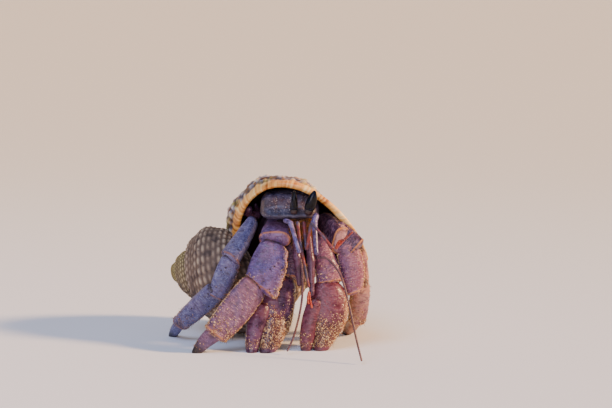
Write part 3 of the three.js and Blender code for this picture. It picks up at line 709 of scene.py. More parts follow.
def shell_point(turns, a, inset=0.0, core=SHELL["core"], rib=0.0):
    """Points of the shell, at turns before the mouth (negative) and angle a round the section."""
    fade = 1 - np.exp(np.minimum(turns, 0) / SHELL["flare_turns"])
    inset = inset + rib * np.cos(SHELL["ribs"] * a) * fade
    size = SHELL["growth"] ** turns
    pinched = 0.5 + 0.5 * np.cos(a - math.radians(SHELL["pinch_at"]))
    opening = SHELL["flare"] - (SHELL["flare"] + SHELL["pinch"]) * pinched
    opened = 1 + opening * np.exp(np.minimum(turns, 0) / SHELL["flare_turns"])
    tilt = math.radians(SHELL["tilt"])
    u = (SHELL["long"] - inset) * np.cos(a) * (1 - SHELL["egg"] * np.cos(a))
    v = (SHELL["short"] - inset) * np.sin(a)
    axial = (u * math.cos(tilt) - v * math.sin(tilt)) * opened
    reach = SHELL["centre_radius"] + u * math.sin(tilt) + v * math.cos(tilt)
    radial = (reach + np.hypot(reach, core)) / 2 * opened
    lean = SHELL["lean"] * axial / SHELL["long"]
    angle = -math.radians(SHELL["mouth_turn"]) - 2 * math.pi * turns + lean
    depth = SHELL["centre_depth"] * size ** SHELL["depth_power"]
    local = np.stack([radial * size * np.cos(angle), radial * size * np.sin(angle),
                      axial * size - depth], axis=-1)
    return np.array(SHELL["apex"]) + local @ shell_axes()


def even_angles(count):
    """Angles round the section that are evenly spaced along its edge, and closed."""
    fine = np.linspace(0, 2 * math.pi, 2001)
    edge = shell_point(np.full_like(fine, -0.2), fine)
    run = np.concatenate([[0], np.cumsum(np.linalg.norm(np.diff(edge, axis=0), axis=1))])
    return np.interp(np.linspace(0, run[-1], count, endpoint=False), run, fine)[None, :]


# %% [markdown]
# ## The shell's relief
# The surface is pushed out along its own normal. Cords run along the whorls, and finer cords
# appear between them on the last whorl. Each cord is broken into long beads. All grow with
# the whorl, so the tip is fine and the mouth coarse. The height is also kept as a number,
# which the finish reads for dark grooves and pale beads.

# %% Shell relief
CORDS = 40  # round one cross-section, five for each rib
BEADS = 32  # along one whorl
RELIEF = 0.75  # mm at the mouth
KNOBS = 0.42  # mm, of the coarse knobs behind the lip


def wave(phase, sharpness):
    """Rounded peaks, one for each whole phase."""
    return (0.5 + 0.5 * np.cos(2 * math.pi * phase)) ** sharpness


def cord_height(turns, a):
    """Height from 0 in a groove to 1 on a bead."""
    share = a / (2 * math.pi)
    late = smooth(-0.9, -0.35, turns)
    drift = 0.22 * np.sin(7 * turns + 5 * a) + 0.16 * np.sin(23 * turns - 2 * a)
    main = wave(CORDS * share + 0.5, 0.7) * (0.75 - 0.25 * np.cos(SHELL["ribs"] * a))
    fine = wave(CORDS * share, 1.6)
    bead = wave(BEADS * turns + drift + 0.37 * np.round(CORDS * share + 0.5), 0.6)
    small = wave(1.8 * BEADS * turns + drift * 1.7, 0.7)
    return np.maximum(main * (0.12 + 0.88 * bead), 0.6 * late * fine * (0.4 + 0.6 * small))


def pushed_out(points, height):
    """Push a grid of rings out along its normals by a height in millimetres."""
    down = np.gradient(points, axis=0)
    normal = np.cross(np.roll(points, -1, axis=1) - np.roll(points, 1, axis=1), down)
    normal /= np.maximum(np.linalg.norm(normal, axis=-1, keepdims=True), 1e-9)
    away = points - points.mean(axis=1, keepdims=True)
    normal *= np.sign(np.einsum("ijk,ijk->ij", normal, away).mean())
    return points + normal * height[..., None]


def shell_outside(turns, columns):
    """Rings of the shell's outside with their relief, and the numbers that go with them."""
    a = even_angles(columns)
    turns = turns[:, None]
    height = cord_height(turns, a)
    fade = smooth(0.0, -0.014, turns)
    raised = (height - 0.5) * fade * RELIEF * SHELL["growth"] ** (0.9 * turns)
    rings = shell_point(turns + 0 * a, a + 0 * turns, rib=SHELL["rib_height"])
    knobs = smooth(-0.22, -0.05, turns) * fade * waves(rings, 2.0, 21)
    flat = 0 * height
    height = np.clip(height + 0.9 * knobs, 0, 1)
    numbers = {"bead": height * fade + 0.6 * (1 - fade), "turn": flat + turns,
               "lip": flat + smooth(-0.012, -0.007, turns + 0.003 * waves(rings, 1.5, 5)),
               "inside": flat, "around": flat + np.arange(columns) / columns}
    return pushed_out(rings, raised + KNOBS * knobs), numbers


def lip_and_hollow(columns):
    """Rings that roll over the lip and run back inside, with their numbers."""
    a = even_angles(columns)
    roll = np.linspace(0, 1, 16)[1:]
    rows = [(0.007 * math.sin(math.pi * s) ** 0.6, SHELL["lip"] * s, 1.0, 0.0) for s in roll]
    rows += [(-0.008 * i, SHELL["lip"] - 0.1 * i, 1 - i / 4, i / 4) for i in (1, 2, 3, 4)]
    rows += [(turns, SHELL["wall"], 0.0, 1.0) for turns in np.linspace(-0.05, -0.66, 44)]
    turns, inset, lip, inside = (np.array(values)[:, None] for values in zip(*rows))
    share = np.clip(inset / SHELL["lip"], 0, 1) * (lip == 1) + (lip < 1)
    core = SHELL["core"] + (SHELL["hollow_core"] - SHELL["core"]) * share
    rings = shell_point(turns + 0 * a, a + 0 * turns, inset, core)
    flat = 0 * rings[..., 0]
    return rings, {"bead": flat + 0.6, "turn": flat + turns, "lip": flat + lip,
                   "inside": flat + inside, "around": flat + np.arange(columns) / columns}


# %% [markdown]
# ## The shell's finish
# The outside is weathered shell lime: dark brown grooves between worn cream and tan beads, slate and
# violet where the outer layer is rubbed off, and an olive film of algae on the tip and in patches near
# the mouth. The lip is bare, smooth and yellow-orange with fine rays across it, and the inside is dull
# brown, darkened further as painted shade of the hollow.

# %% Shell material
RAYS = 110.0  # fine rays round the lip
ENAMEL = [(0.37, "#a05a1e"), (0.44, "#d88f3c"), (0.51, "#f0b862"), (0.6, "#f9dc9c")]


def shell_finish():
    """Dull, mottled lime outside, so that the bare lip stands out warm and smooth."""
    material, tree, shader = new_material("weathered_turban_shell_lime")
    place = on_object(tree)
    keys = ("bead", "turn", "lip", "inside", "around")
    bead, turn, lip, inside, around = (number(tree, key) for key in keys)
    broad, fine = noise(tree, place, 6.0), noise(tree, place, 0.9, 5.0)

    def by_height(*stops):
        return add(tree, "ShaderNodeValToRGB", {0: bead}, stops=stops).outputs[0]

    worn = by_height((0.05, "#5c4a3e"), (0.35, "#7c6857"), (0.6, "#998570"), (0.95, "#bda98c"))
    slate = by_height((0.05, "#443e4a"), (0.35, "#6e6874"), (0.6, "#a29ca2"), (0.95, "#e0d6c8"))
    dark = by_height((0.05, "#382a25"), (0.5, "#5e4c44"), (0.95, "#96826f"))
    olive = by_height((0.05, "#5c4c22"), (0.5, "#a3934e"), (0.9, "#c9bb78"))
    rust = by_height((0.05, "#4a2c14"), (0.5, "#96602a"), (0.9, "#d2a468"))
    last = combined(tree, "MULTIPLY", ranged(tree, turn, -0.75, -0.3),
                    ranged(tree, broad, 0.36, 0.5))
    patches = combined(tree, "MULTIPLY", ranged(tree, turn, -0.3, 0.0),
                       ranged(tree, broad, 0.5, 0.62))
    tip = ranged(tree, turn, -1.5, -2.1, 0.0, 0.8)
    near_lip = combined(tree, "MULTIPLY", ranged(tree, turn, -0.1, -0.01),
                        ranged(tree, noise(tree, place, 1.8), 0.48, 0.6))
    rays = add(tree, "ShaderNodeCombineXYZ", {0: around, 1: 0.0, 2: 0.0})
    pattern = {"Vector": rays.outputs[0], "Scale": RAYS, "Detail": 2.0}
    ray = add(tree, "ShaderNodeTexNoise", pattern).outputs[0]
    half = combined(tree, "MULTIPLY", combined(tree, "ADD", ray, broad), 0.5)
    enamel = add(tree, "ShaderNodeValToRGB", {0: half}, stops=ENAMEL).outputs[0]
    tint = layered(tree, worn,
                   (last, slate),
                   (ranged(tree, noise(tree, place, 3.0), 0.5, 0.62, 0.0, 0.8), dark),
                   (combined(tree, "MAXIMUM", tip, patches), olive),
                   (near_lip, rust),
                   (ranged(tree, fine, 0.52, 0.75, 0.0, 0.5), "#33241f"),
                   (lip, enamel),
                   # partly painted shade: the inside is made dark brown for the shade in the hollow
                   (inside, mixed(tree, broad, "#33241c", "#54402f")))
    bare = combined(tree, "MAXIMUM", lip, inside)
    tree.links.new(ranged(tree, bare, 0.0, 1.0, 0.75, 0.35), shader.inputs["Roughness"])
    surfaced(tree, shader, tint, fine, 0.12, 0.6)
    return material


TURBAN = shell_finish()
LAST_COLUMNS, SPIRE_COLUMNS = 280, 200
outside, outside_numbers = shell_outside(np.linspace(-1.0, 0.0, 270), LAST_COLUMNS)
inner, inner_numbers = lip_and_hollow(LAST_COLUMNS)
both = {key: np.concatenate([outside_numbers[key], inner_numbers[key]]) for key in inner_numbers}
last_whorl = tube("shell_last_whorl", np.concatenate([outside, inner]), both)
finish(last_whorl, TURBAN, "shell", "shell")
spire = tube("shell_spire", *shell_outside(np.linspace(-3.2, -0.98, 400), SPIRE_COLUMNS))
finish(spire, TURBAN, "shell", "shell")
print("shell faces:", len(last_whorl.data.polygons), len(spire.data.polygons))

# %% [markdown]
# ## The head shield, trunk and abdomen
# The shield is the hard front part of the carapace, domed from side to side, grey-violet
# and pitted, with a groove across it and rows of pearly specks. Behind and below it the body
# is soft, and coils away into the shell. All three are rings across the animal.

# %% Head shield and trunk
BODY_MIDDLE = 4.7  # mm, across the animal
SHIELD_SQUARENESS = 0.58
SHIELD = dict(y=[-3.8, -3.0, -1.4, 2.0, 7.0, 11.5, 14.5, 15.6],
              z=[32.9, 32.9, 33.0, 33.4, 33.6, 33.0, 32.6, 32.6],
              wide=[4.2, 5.4, 6.6, 7.3, 7.4, 6.6, 5.0, 3.0], up=[0.3, 0.9, 2.4, 4.3, 5.0, 4.2, 2.8, 1.2],
              down=[0.4, 0.8, 1.3, 1.7, 1.9, 1.9, 1.4, 0.8])
TRUNK = dict(y=[-0.4, 0.4, 4.0, 10.0, 15.6, 16.8], z=[28.4, 28.4, 28.6, 28.4, 28.6, 28.6],
             wide=[2.4, 3.6, 6.0, 6.8, 5.2, 3.0], up=[1.8, 3.0, 3.0, 3.4, 2.8, 1.4],
             down=[1.6, 2.6, 3.6, 3.8, 3.0, 1.6])


def body_rings(rows, steps, columns, power):
    """Rings across the animal, eased between the given rows along its length."""
    y = np.linspace(rows["y"][0], rows["y"][-1], steps)
    row = {key: np.interp(y, rows["y"], rows[key])[:, None] for key in ("z", "wide", "up", "down")}
    angle = ring_angles(columns)[None, :]
    height = np.where(np.sin(angle) > 0, row["up"], row["down"])
    rings = np.stack([BODY_MIDDLE + row["wide"] * rounded(np.cos(angle), power),
                      y[:, None] + 0 * angle,
                      row["z"] + height * rounded(np.sin(angle), power)], axis=-1)
    for _ in range(12):  # soften the corners between the rows
        rings[1:-1] = 0.25 * rings[:-2] + 0.5 * rings[1:-1] + 0.25 * rings[2:]
    return rings


def plain_numbers(rings, **values):
    """Numbers for a piece with no margin or fringe of its own."""
    flat = 0 * rings[..., 0]
    numbers = {key: flat + values.get(key, 0) for key in ("edge", "fringe", "grain", "horn")}
    return {**numbers, "local": rings / 1000}


def groove(distance, width, depth):
    return -depth * np.exp(-(distance / width) ** 2)


def engraved_shield(rings):
    """Press the grooves of the carapace into its top."""
    x, y = rings[..., 0] - BODY_MIDDLE, rings[..., 1]
    across = groove(y - (4.2 - 0.045 * x ** 2), 0.35, 0.35) * smooth(6.5, 5.0, np.abs(x))
    sides = groove(np.abs(x) - 3.6 - 0.12 * y, 0.25, 0.25) * smooth(-1.5, 0.5, y)
    front = groove(y + 1.9, 0.25, 0.2) * smooth(5.5, 4.0, np.abs(x))
    top = smooth(33.4, 34.2, rings[..., 2])
    lump = 0.08 * waves(rings, 1.6, 9)
    rings[..., 2] += (across + sides + front + lump) * top
    return rings


# Slate with a faint shine, which shows the dome and its grooves.
SHIELD_SKIN = cuticle("pitted_shield_cuticle", "#34324a", "#3e3746", "#857c8e", "#6a4a3a",
                      granule=0.5, rough=0.36, relief=0.06, fleck=0.6, striae=0.0)
# Dull and soft, so that it stays behind the limbs.
TRUNK_SKIN = cuticle("soft_trunk_skin", "#453040", "#3a2a3a", "#6b5060", "#7a4a30",
                     rough=0.5, fleck=0.2, striae=0.0)
rings = engraved_shield(body_rings(SHIELD, 180, 160, SHIELD_SQUARENESS))
from_middle = np.abs(rings[..., 0] - BODY_MIDDLE)
rows = np.exp(-((from_middle - 3.4) / 0.45) ** 2) + np.exp(-((from_middle - 0.4) / 0.5) ** 2) + 0.06
numbers = plain_numbers(rings)
numbers["grain"] = rows * smooth(5.0, -1.0, rings[..., 1]) * smooth(33.2, 33.8, rings[..., 2])
shield = tube("head_shield", rings, numbers)
finish(shield, SHIELD_SKIN, "shield", "shield")
rings = body_rings(TRUNK, 60, 72, SQUARENESS)
finish(tube("trunk_skin", rings, plain_numbers(rings)), TRUNK_SKIN, "soft_body", "trunk")
steps = np.linspace(-0.5, -0.09, 40)[:, None]
coil = shell_point(steps + 0 * even_angles(60), even_angles(60) + 0 * steps)
middles = coil.mean(axis=1, keepdims=True)
rings = middles + (coil - middles) * (0.3 + 0.14 * (steps + 0.5) / 0.41)[..., None]
finish(tube("abdomen_skin", rings, plain_numbers(rings)), TRUNK_SKIN, "soft_body", "abdomen")

# %% [markdown]
# ## The mouth
# The mouthparts are a short brown block below the shield, thick with amber bristles.

# %% Mouth
# Warm brown that glows between the bristles.
MOUTH_SKIN = cuticle("bristly_mouthparts", "#4a2a14", "#5e3818", "#a8743a", "#b9772f",
                     rough=0.5, fleck=0.3)
MOUTH = limb([7.6, -2, 32.4], [7.4, -1, 25.2], [1, 0, 0], [4.2, 4.4, 3], [2.4, 3.2, 2.4])
rings, numbers = limb_rings(MOUTH, swell=0.25, collar=0.0)
hosts["mouth"] = tube("mouthparts", rings, plain_numbers(rings, grain=1.0))
finish(hosts["mouth"], MOUTH_SKIN, "mouth", "mouth")

# %% [markdown]
# ## The eyes
# Each eye is a black cornea on a slim dark stalk. The cornea is wet-looking, with facets too
# fine to see, so a near-black with a small sharp highlight makes it. Its section follows the solids, but
# the widest place is low, as on the real eye.

# %% Eyes
EYES = {
    "right": limb([5.75, -3.7, 33.3], [5.9, -4.4, 39.1], [1, 0, 0], [1.8, 1.6, 0.5], [1.5, 1.9, 0.6]),
    "left": limb([9.2, -3.7, 33.2], [10.9, -4.4, 39.2], [1, 0.3, 0], [2.2, 2.5, 0.6], [1.4, 1.9, 0.6]),
}
EYESTALK_SHARE = 0.4
CORNEA_SHARE = 0.16  # the cornea's skirt reaches down over the stalk


def cornea_finish():
    """Wet and nearly black, with patches of painted blue sheen."""
    material, tree, shader = new_material("wet_black_cornea")
    place = on_object(tree)
    # painted sheen: noise lays dark blue patches over the near-black
    depth = mixed(tree, ranged(tree, noise(tree, place, 1.6), 0.45, 0.65), "#020204", "#081028")
    facets = add(tree, "ShaderNodeTexVoronoi", {"Vector": place, "Scale": per(0.09)})
    surfaced(tree, shader, depth, facets.outputs["Distance"], 0.004)
    shader.inputs["Roughness"].default_value = 0.07
    shader.inputs["Specular IOR Level"].default_value = 0.22
    return material


CORNEA = cornea_finish()
# Dull black, so that the cornea shines against it.
STALK = cuticle("eyestalk_cuticle", "#08080e", "#0e0d16", "#1c1a26", "#2a1c20", rough=0.4, relief=0.01,
                fleck=0.1, striae=0.0)
for side_name, eye in EYES.items():
    way, _, _, length = axes_of(eye)
    joint = eye["start"] + way * length * EYESTALK_SHARE
    width, thick = (through(eye[key], EYESTALK_SHARE) for key in ("width", "thick"))
    stalk = limb(eye["start"], joint + way * 0.5, eye["side"], [eye["width"][0], eye["width"][0], width],
                 [eye["thick"][0], eye["thick"][0], thick])
    skirt = eye["start"] + way * length * CORNEA_SHARE
    wide, thin = eye["width"], eye["thick"]
    cornea = limb(skirt, eye["end"], eye["side"], [1.12 * wide[0], 1.04 * wide[1], wide[2]],
                  [1.1 * thin[0], thin[1], thin[2]])
    for name, part, material in (("eyestalk", stalk, STALK), ("eye", cornea, CORNEA)):
        rings, numbers = limb_rings(part, swell=0.01, collar=0.0, power=1.0)
        numbers["fringe"] *= 0
        node = f"{name}_{side_name}"
        finish(tube(node + "_surface", rings, numbers), material, name, node)

# %% [markdown]
# ## Feelers and mouth legs
# The antennae start in two stout pieces and go on as a thin ringed whip. The antennules
# are thin bent rods that end in two short orange branches. Between them hang the mouth legs.
# All are tubes along a path. A wave in the radius makes the rings, and a swelling the joints.

# %% Feelers


def smooth_line(path, at):
    """A Catmull-Rom curve through points, at places counted in points."""
    padded = np.vstack([2 * path[0] - path[1], path, 2 * path[-1] - path[-2]])
    i = np.minimum(at.astype(int), len(path) - 2)
    s = (at - i)[:, None]
    p0, p1, p2, p3 = (padded[i + k] for k in range(4))
    return 0.5 * (2 * p1 + (p2 - p0) * s + (2 * p0 - 5 * p1 + 4 * p2 - p3) * s ** 2
                  + (3 * p1 - p0 - 3 * p2 + p3) * s ** 3)


def path_rings(path, radii, steps=80, columns=20, whip=False, spacing=0.45):
    """Rings along a path, with radii spread along it; a whip is smooth and ringed."""
    path = np.array(path, float)
    at = np.linspace(0, len(path) - 1, steps)
    line = smooth_line(path, at)
    if not whip:
        angular = np.stack([np.interp(at, np.arange(len(path)), path[:, k]) for k in range(3)], axis=1)
        line = 0.3 * line + 0.7 * angular
    run = np.concatenate([[0], np.cumsum(np.linalg.norm(np.diff(line, axis=0), axis=1))])
    radius = np.interp(at, np.linspace(0, len(path) - 1, len(radii)), radii)
    if whip:
        radius = radius * (1 + 0.1 * np.cos(2 * math.pi * run / spacing))
    else:
        radius = radius * (1 + 0.16 * np.exp(-((at - np.round(at)) / 0.1) ** 2))
    ends = np.clip(np.minimum(run, run[-1] - run) / radius, 0.02, 1)
    radius = radius * np.sqrt(1 - (1 - ends) ** 2)
    normal = np.empty_like(line)
    tangent = np.gradient(line, axis=0)
    tangent /= np.linalg.norm(tangent, axis=1, keepdims=True)
    current = np.array([1, 0.3, 0.2])
    for i, direction in enumerate(tangent):
        current = unit(current - direction * (current @ direction))
        normal[i] = current
    angle = ring_angles(columns)[:, None]
    spoke = normal[:, None] * np.cos(angle) + np.cross(tangent, normal)[:, None] * np.sin(angle)
    return line[:, None] + radius[:, None, None] * spoke


RODS = {
    "maxilliped_right": ([[6.2, -2.4, 28.2], [6.6, -3.8, 22.6], [7.2, -3.4, 15.4]], [0.9, 0.95, 0.6]),
    "maxilliped_left": ([[9.2, -2.6, 28.2], [10, -4.2, 21.8], [10.2, -6.2, 13.4]], [0.9, 0.95, 0.6]),
    "antennule_right": ([[6.7, -4, 31.6], [7.4, -6.4, 26.4], [9.5, -8.2, 15.8]], [0.5, 0.38, 0.3]),
    "antennule_left": ([[8.2, -4, 31.6], [8.9, -7.2, 25.2], [10.1, -8.8, 31.6], [15.4, -12, 25.8]],
                       [0.5, 0.38, 0.36, 0.3]),
    "antenna_right": ([[3.3, -3.2, 31.8], [5, -5.0, 31.2], [7.2, -9, 24.3]], [0.62, 0.58, 0.46]),
    "antenna_left": ([[11.4, -3.6, 33.4], [10.8, -5.2, 31.6], [11.3, -9, 23.9]], [0.8, 0.74, 0.52]),
    "leg_right_fourth": ([[-3, 13, 31], [-6, 11, 32.2], [-5.4, 9, 33.6]], [1.0, 1.1, 0.7]),
    "leg_left_fourth": ([[12.4, 14.6, 29.6], [13.6, 13, 29.8], [13.2, 11.8, 31.4]], [0.9, 0.9, 0.6]),
    "leg_right_fifth": ([[-1.6, 17, 31], [-4, 16.6, 32.4], [-4.4, 14.8, 34]], [0.7, 0.8, 0.5]),
    "leg_left_fifth": ([[10, 18, 29.8], [11.6, 17.2, 30.4], [11.4, 15.6, 31.8]], [0.7, 0.7, 0.5]),
}
WHIPS = {
    "antennule_right_flagella": [[[9.5, -8.6, 15], [9.7, -8.8, 13.2], [10.2, -9.2, 11]],
                                 [[9.5, -8.6, 15], [9.2, -9.2, 13.4], [9.4, -9.6, 12]]],
    "antennule_left_flagella": [[[15.8, -12.4, 25.9], [17.6, -13.2, 28], [19.9, -14, 30.3]],
                                [[15.8, -12.4, 25.9], [16.6, -13.2, 27.8], [18, -14, 28.4]]],
    "antenna_right_flagellum": [[[7.4, -9.4, 23.2], [8, -9.8, 19], [7.6, -9.6, 12],
                                 [6, -10.4, 5], [4.2, -12, 0.9]]],
    "antenna_left_flagellum": [[[11.7, -9.6, 23.3], [13.9, -11.4, 23.4], [17, -14.4, 19.8],
                                [19, -17.6, 13],
                                [20.6, -20.4, 5.6], [21.8, -22.6, 0.8]]],
}
# Pale lilac and a little shiny, light against the dark mouth.
ANTENNA = cuticle("antenna_cuticle_lilac", "#625a94", "#4c3c6a", "#b0a4d6", "#a05a30",
                  rough=0.3, relief=0.01, fleck=0.3)
# Orange-red, the strongest hue on the animal.
ANTENNULE = cuticle("antennule_cuticle_red", "#a82c12", "#7a2018", "#d86a3c", "#c96a38",
                    rough=0.38, relief=0.01, fleck=0.2)
# Slate that turns to red in patches.
ANTENNULE_ROD = cuticle("antennule_cuticle_slate", "#3a3450", "#8a2a1a", "#6a6484", "#a0522a",
                        rough=0.38, relief=0.01, fleck=0.2)
# Dark rust, so that the thin line still reads on a pale ground.
WHIP = cuticle("antenna_whip_rust", "#5a3434", "#4a2c38", "#8f6660", "#80482c",
               rough=0.38, relief=0.01, fleck=0.2)
ROD_FINISH = {"maxilliped": (PURPLE, "claw_skin"), "antennule": (ANTENNULE_ROD, "red_feeler"),
              "antenna": (ANTENNA, "pale_feeler"), "leg_right": (PURPLE, "right_leg_skin"),
              "leg_left": (PLUM, "left_leg_skin")}
for name, (path, radii) in RODS.items():
    rings = path_rings(path, radii)
    material, slot = ROD_FINISH[name.rsplit("_", 1)[0]]
    piece = tube(name + "_surface", rings, plain_numbers(rings, grain=0.5))
    finish(piece, material, slot, name)
for name, branches in WHIPS.items():
    for index, branch in enumerate(branches):
        rings = path_rings(branch, [0.3, 0.24], steps=42 * len(branch), columns=12, whip=True)
        piece = tube(f"{name}_{index}", rings, plain_numbers(rings))
        red = name.startswith("antennule")
        finish(piece, ANTENNULE if red else WHIP, "red_feeler" if red else "pale_feeler", name)
print("feelers:", len(RODS) + len(WHIPS))

# %% [markdown]
# ## Granules and bristles
# Pale tubercles stand along the margins and lower halves of the limbs, and stiff golden
# bristles grow between them and on the mouthparts. Both repeat by the hundred, so Geometry
# Nodes scatter them: points spread evenly over a piece, thinned by its number "grain", each
# carrying a small shape turned to the surface. The result is made a plain mesh.

# %% Scatter tree
SOCKETS = (("Spacing", "NodeSocketFloat"), ("Size", "NodeSocketFloat"), ("Length", "NodeSocketFloat"),
           ("Amount", "NodeSocketFloat"), ("Lean", "NodeSocketVector"), ("Finish", "NodeSocketMaterial"))
SEED = 7


def scatter_tree(name, shape, stretch):
    """Geometry Nodes that cover a piece with many copies of one small shape."""
    tree = bpy.data.node_groups.new(name, "GeometryNodeTree")
    tree.interface.new_socket("Geometry", in_out="INPUT", socket_type="NodeSocketGeometry")
    for socket, kind in SOCKETS:
        tree.interface.new_socket(socket, in_out="INPUT", socket_type=kind)
    tree.interface.new_socket("Geometry", in_out="OUTPUT", socket_type="NodeSocketGeometry")
    given = add(tree, "NodeGroupInput").outputs
    grain = add(tree, "GeometryNodeInputNamedAttribute", {"Name": "grain"}, data_type="FLOAT")
    amount = combined(tree, "MULTIPLY", grain.outputs[0], given["Amount"])
    spread = add(tree, "GeometryNodeDistributePointsOnFaces", {
        "Mesh": given["Geometry"], "Distance Min": given["Spacing"], "Density Max": 1e9,
        "Density Factor": amount, "Seed": SEED}, distribute_method="POISSON")
    lean = add(tree, "ShaderNodeVectorMath", {0: spread.outputs["Normal"], 1: given["Lean"]},
               operation="ADD")
    turn = add(tree, "FunctionNodeAlignRotationToVector", {"Vector": lean.outputs[0]}, axis="Z")
    uneven = add(tree, "FunctionNodeRandomValue", {2: 0.4, 3: 1.4, "Seed": SEED}, data_type="FLOAT")
    wide = combined(tree, "MULTIPLY", uneven.outputs[1], given["Size"])
    tall = combined(tree, "MULTIPLY", uneven.outputs[1], given["Length"]) if stretch else wide
    scale = add(tree, "ShaderNodeCombineXYZ", {0: wide, 1: wide, 2: tall})
    small = add(tree, *shape)
    copies = add(tree, "GeometryNodeInstanceOnPoints", {
        "Points": spread.outputs["Points"], "Instance": small.outputs["Mesh"],
        "Rotation": turn.outputs[0], "Scale": scale.outputs[0]})
    real = add(tree, "GeometryNodeRealizeInstances", {"Geometry": copies.outputs[0]})
    painted = add(tree, "GeometryNodeSetMaterial",
                  {"Geometry": real.outputs[0], "Material": given["Finish"]})
    add(tree, "NodeGroupOutput", {"Geometry": painted.outputs[0]})
    return tree


BALL = ("GeometryNodeMeshIcoSphere", {"Radius": 1.0, "Subdivisions": 1})
SPIKE = ("GeometryNodeMeshCone",
         {"Vertices": 4, "Radius Top": 0.0, "Radius Bottom": 1.0, "Depth": 1.0})
GRANULES = scatter_tree("granules", BALL, False)
BRISTLES = scatter_tree("bristles", SPIKE, True)


def scattered(name, host, tree, material, slot, **values):
    """A plain mesh with a tree's shapes on a host piece; sizes are in millimetres."""
    carrier = placed(name, host.data)
    modifier = carrier.modifiers.new(name, "NODES")
    modifier.node_group = tree
    keys = {item.name: item.identifier for item in tree.interface.items_tree
            if item.item_type == "SOCKET" and item.in_out == "INPUT"}
    for label, value in {**values, "Finish": material}.items():
        modifier[keys[label]] = value / 1000 if label in ("Spacing", "Size", "Length") else value
    mesh = evaluated(carrier)
    if not len(mesh.polygons):
        return None
    piece = placed(name, mesh)
    finish(piece, material, slot)
    return piece


# %% [markdown]
# ## Where they grow
# The granules' pale amber is lime with little chitin in it. The bristles are plain chitin, golden where
# light passes through them, and dark brown in patches.

# %% Granules and bristles


def bead_finish(name, *codes, mm=0.5, rough=0.4):
    """A small-scale mix of two colours, for granules and bristles."""
    material, tree, shader = new_material(name)
    place = on_object(tree)
    tint = mixed(tree, ranged(tree, noise(tree, place, mm), 0.4, 0.6), *codes)
    tree.links.new(tint, shader.inputs["Base Color"])
    shader.inputs["Roughness"].default_value = rough
    return material


# Cream on amber, which sparkles on the dark claws.
PEARL_LIME = bead_finish("granule_lime_cream", "#84522e", "#f0cd94")
# Muted, so that the rear leg stays cool.
MAUVE_LIME = bead_finish("granule_lime_mauve", "#7a5a62", "#b08e86")
# Dark brown and amber in patches, like hair.
CHITIN_HAIR = bead_finish("bristle_chitin_amber", "#3a1a0e", "#a8692e", mm=0.8, rough=0.35)
# Cold grey-white specks on the slate shield.
SHIELD_PEARL = bead_finish("shield_tubercle_lime", "#8f8696", "#d8d0d4")
# The same hair in smaller, darker-brown patches, which gives the mouth its depth.
AMBER_HAIR = bead_finish("mouth_bristle_chitin", "#2e160a", "#b8762e", mm=0.35, rough=0.4)
UNDERSIDES = {"leg_right_front_propodus", "leg_right_rear_carpus", "leg_right_rear_propodus",
              "leg_left_front_propodus", "leg_right_front_carpus", "leg_left_front_carpus",
              "leg_right_front_dactyl", "leg_right_rear_dactyl", "claw_left_palm", "claw_right_palm",
              "claw_left_finger", "claw_right_finger"}
count = 0
for name, host in hosts.items():
    limb_name, _, part = name.rpartition("_")
    parts = LEGS.get(limb_name) or CLAWS.get(limb_name)
    if not parts:
        continue
    slot = skin_slot(name)
    lean = axes_of(parts[part])[0] * 0.8
    lime = MAUVE_LIME if "rear" in name and "right" in name else PEARL_LIME
    grown = [scattered(name + "_granules", host, GRANULES, lime, slot,
                       Spacing=0.26, Size=0.125, Amount=1.0)]
    if name in UNDERSIDES:
        grown.append(scattered(name + "_bristles", host, BRISTLES, CHITIN_HAIR, slot,
                               Spacing=0.5, Size=0.045, Length=0.8, Amount=0.6, Lean=lean))
    count += sum(len(piece.data.polygons) for piece in grown if piece)
scattered("shield_pearls", shield, GRANULES, SHIELD_PEARL, "shield",
          Spacing=0.42, Size=0.085, Amount=0.8)
beard = scattered("mouth_bristles", hosts["mouth"], BRISTLES, AMBER_HAIR, "mouth",
                  Spacing=0.2, Size=0.055, Length=1.3, Amount=1.0, Lean=(0, -0.5, -0.9))
print("granule and bristle faces:", count + len(beard.data.polygons))

# %% [markdown]
# ## The stage
# A pale sweep of floor that curves up behind. A low warm sun from the right draws the
# margins, a cool lamp high on the left and a soft one in front fill in, and the sky is even.

# %% Stage and light


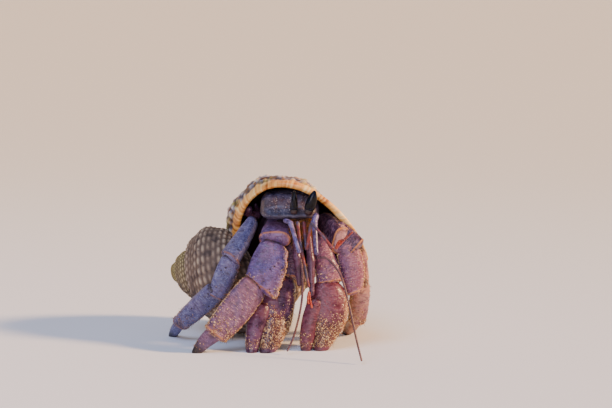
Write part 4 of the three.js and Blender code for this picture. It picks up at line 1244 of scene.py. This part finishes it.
def sweep(width=8.0, front=-3.0, bend=0.5, radius=3.0, height=5.0):
    """A floor that bends up into a backdrop, as one smooth strip."""
    arc = np.linspace(0, math.pi / 2, 25)
    curve = [(bend + radius * math.sin(t), radius - radius * math.cos(t)) for t in arc]
    profile = [(front, 0.0), *curve, (bend + radius, height)]
    points = [(x, y, z) for y, z in profile for x in (-width, width)]
    strips = range(0, len(points) - 2, 2)
    mesh = bpy.data.meshes.new("floor")
    mesh.from_pydata(points, [], [(i, i + 1, i + 3, i + 2) for i in strips])
    mesh.shade_smooth()
    return placed("floor", mesh)


floor = sweep()
# Matt and pale, so that only the shadow shows on it.
paper, _, shader = new_material("pale_studio_paper")
shader.inputs["Base Color"].default_value = colour("#e6ecf4")
shader.inputs["Roughness"].default_value = 0.95
floor.data.materials.append(paper)

SKY_STRENGTH = 0.32
SUN_STRENGTH = 7.5
SUN_SIZE = 7  # degrees, which softens the shadow's edge
SUN_TURN = (62, 0, 78)  # degrees: low, from the right
sky = bpy.data.worlds.new("studio")
bpy.context.scene.world = sky
sky.use_nodes = True
background = sky.node_tree.nodes["Background"]
background.inputs["Color"].default_value = colour("#dfe3ec")
background.inputs["Strength"].default_value = SKY_STRENGTH


def softbox(name, place, size, power, code, target=(0, 0, 0.02)):
    """A square area light that faces a target."""
    light = bpy.data.lights.new(name, "AREA")
    light.size, light.energy = size, power
    light.color = colour(code)[:3]
    lamp = placed(name, light)
    lamp.location = place
    x, y, z = np.array(target) - np.array(place)
    lamp.rotation_euler = (math.acos(-z / math.hypot(x, y, z)), 0, math.atan2(y, x) - math.pi / 2)


softbox("cool_top", (-0.25, -0.35, 0.65), 0.4, 3.5, "#c8d6ff")
softbox("front", (-0.1, -0.9, 0.12), 0.5, 4.0, "#f2ecff")
low_sun = bpy.data.lights.new("low_sun", "SUN")
low_sun.energy, low_sun.angle = SUN_STRENGTH, math.radians(SUN_SIZE)
low_sun.color = colour("#ffc890")[:3]
placed("low_sun", low_sun).rotation_euler = [math.radians(turn) for turn in SUN_TURN]
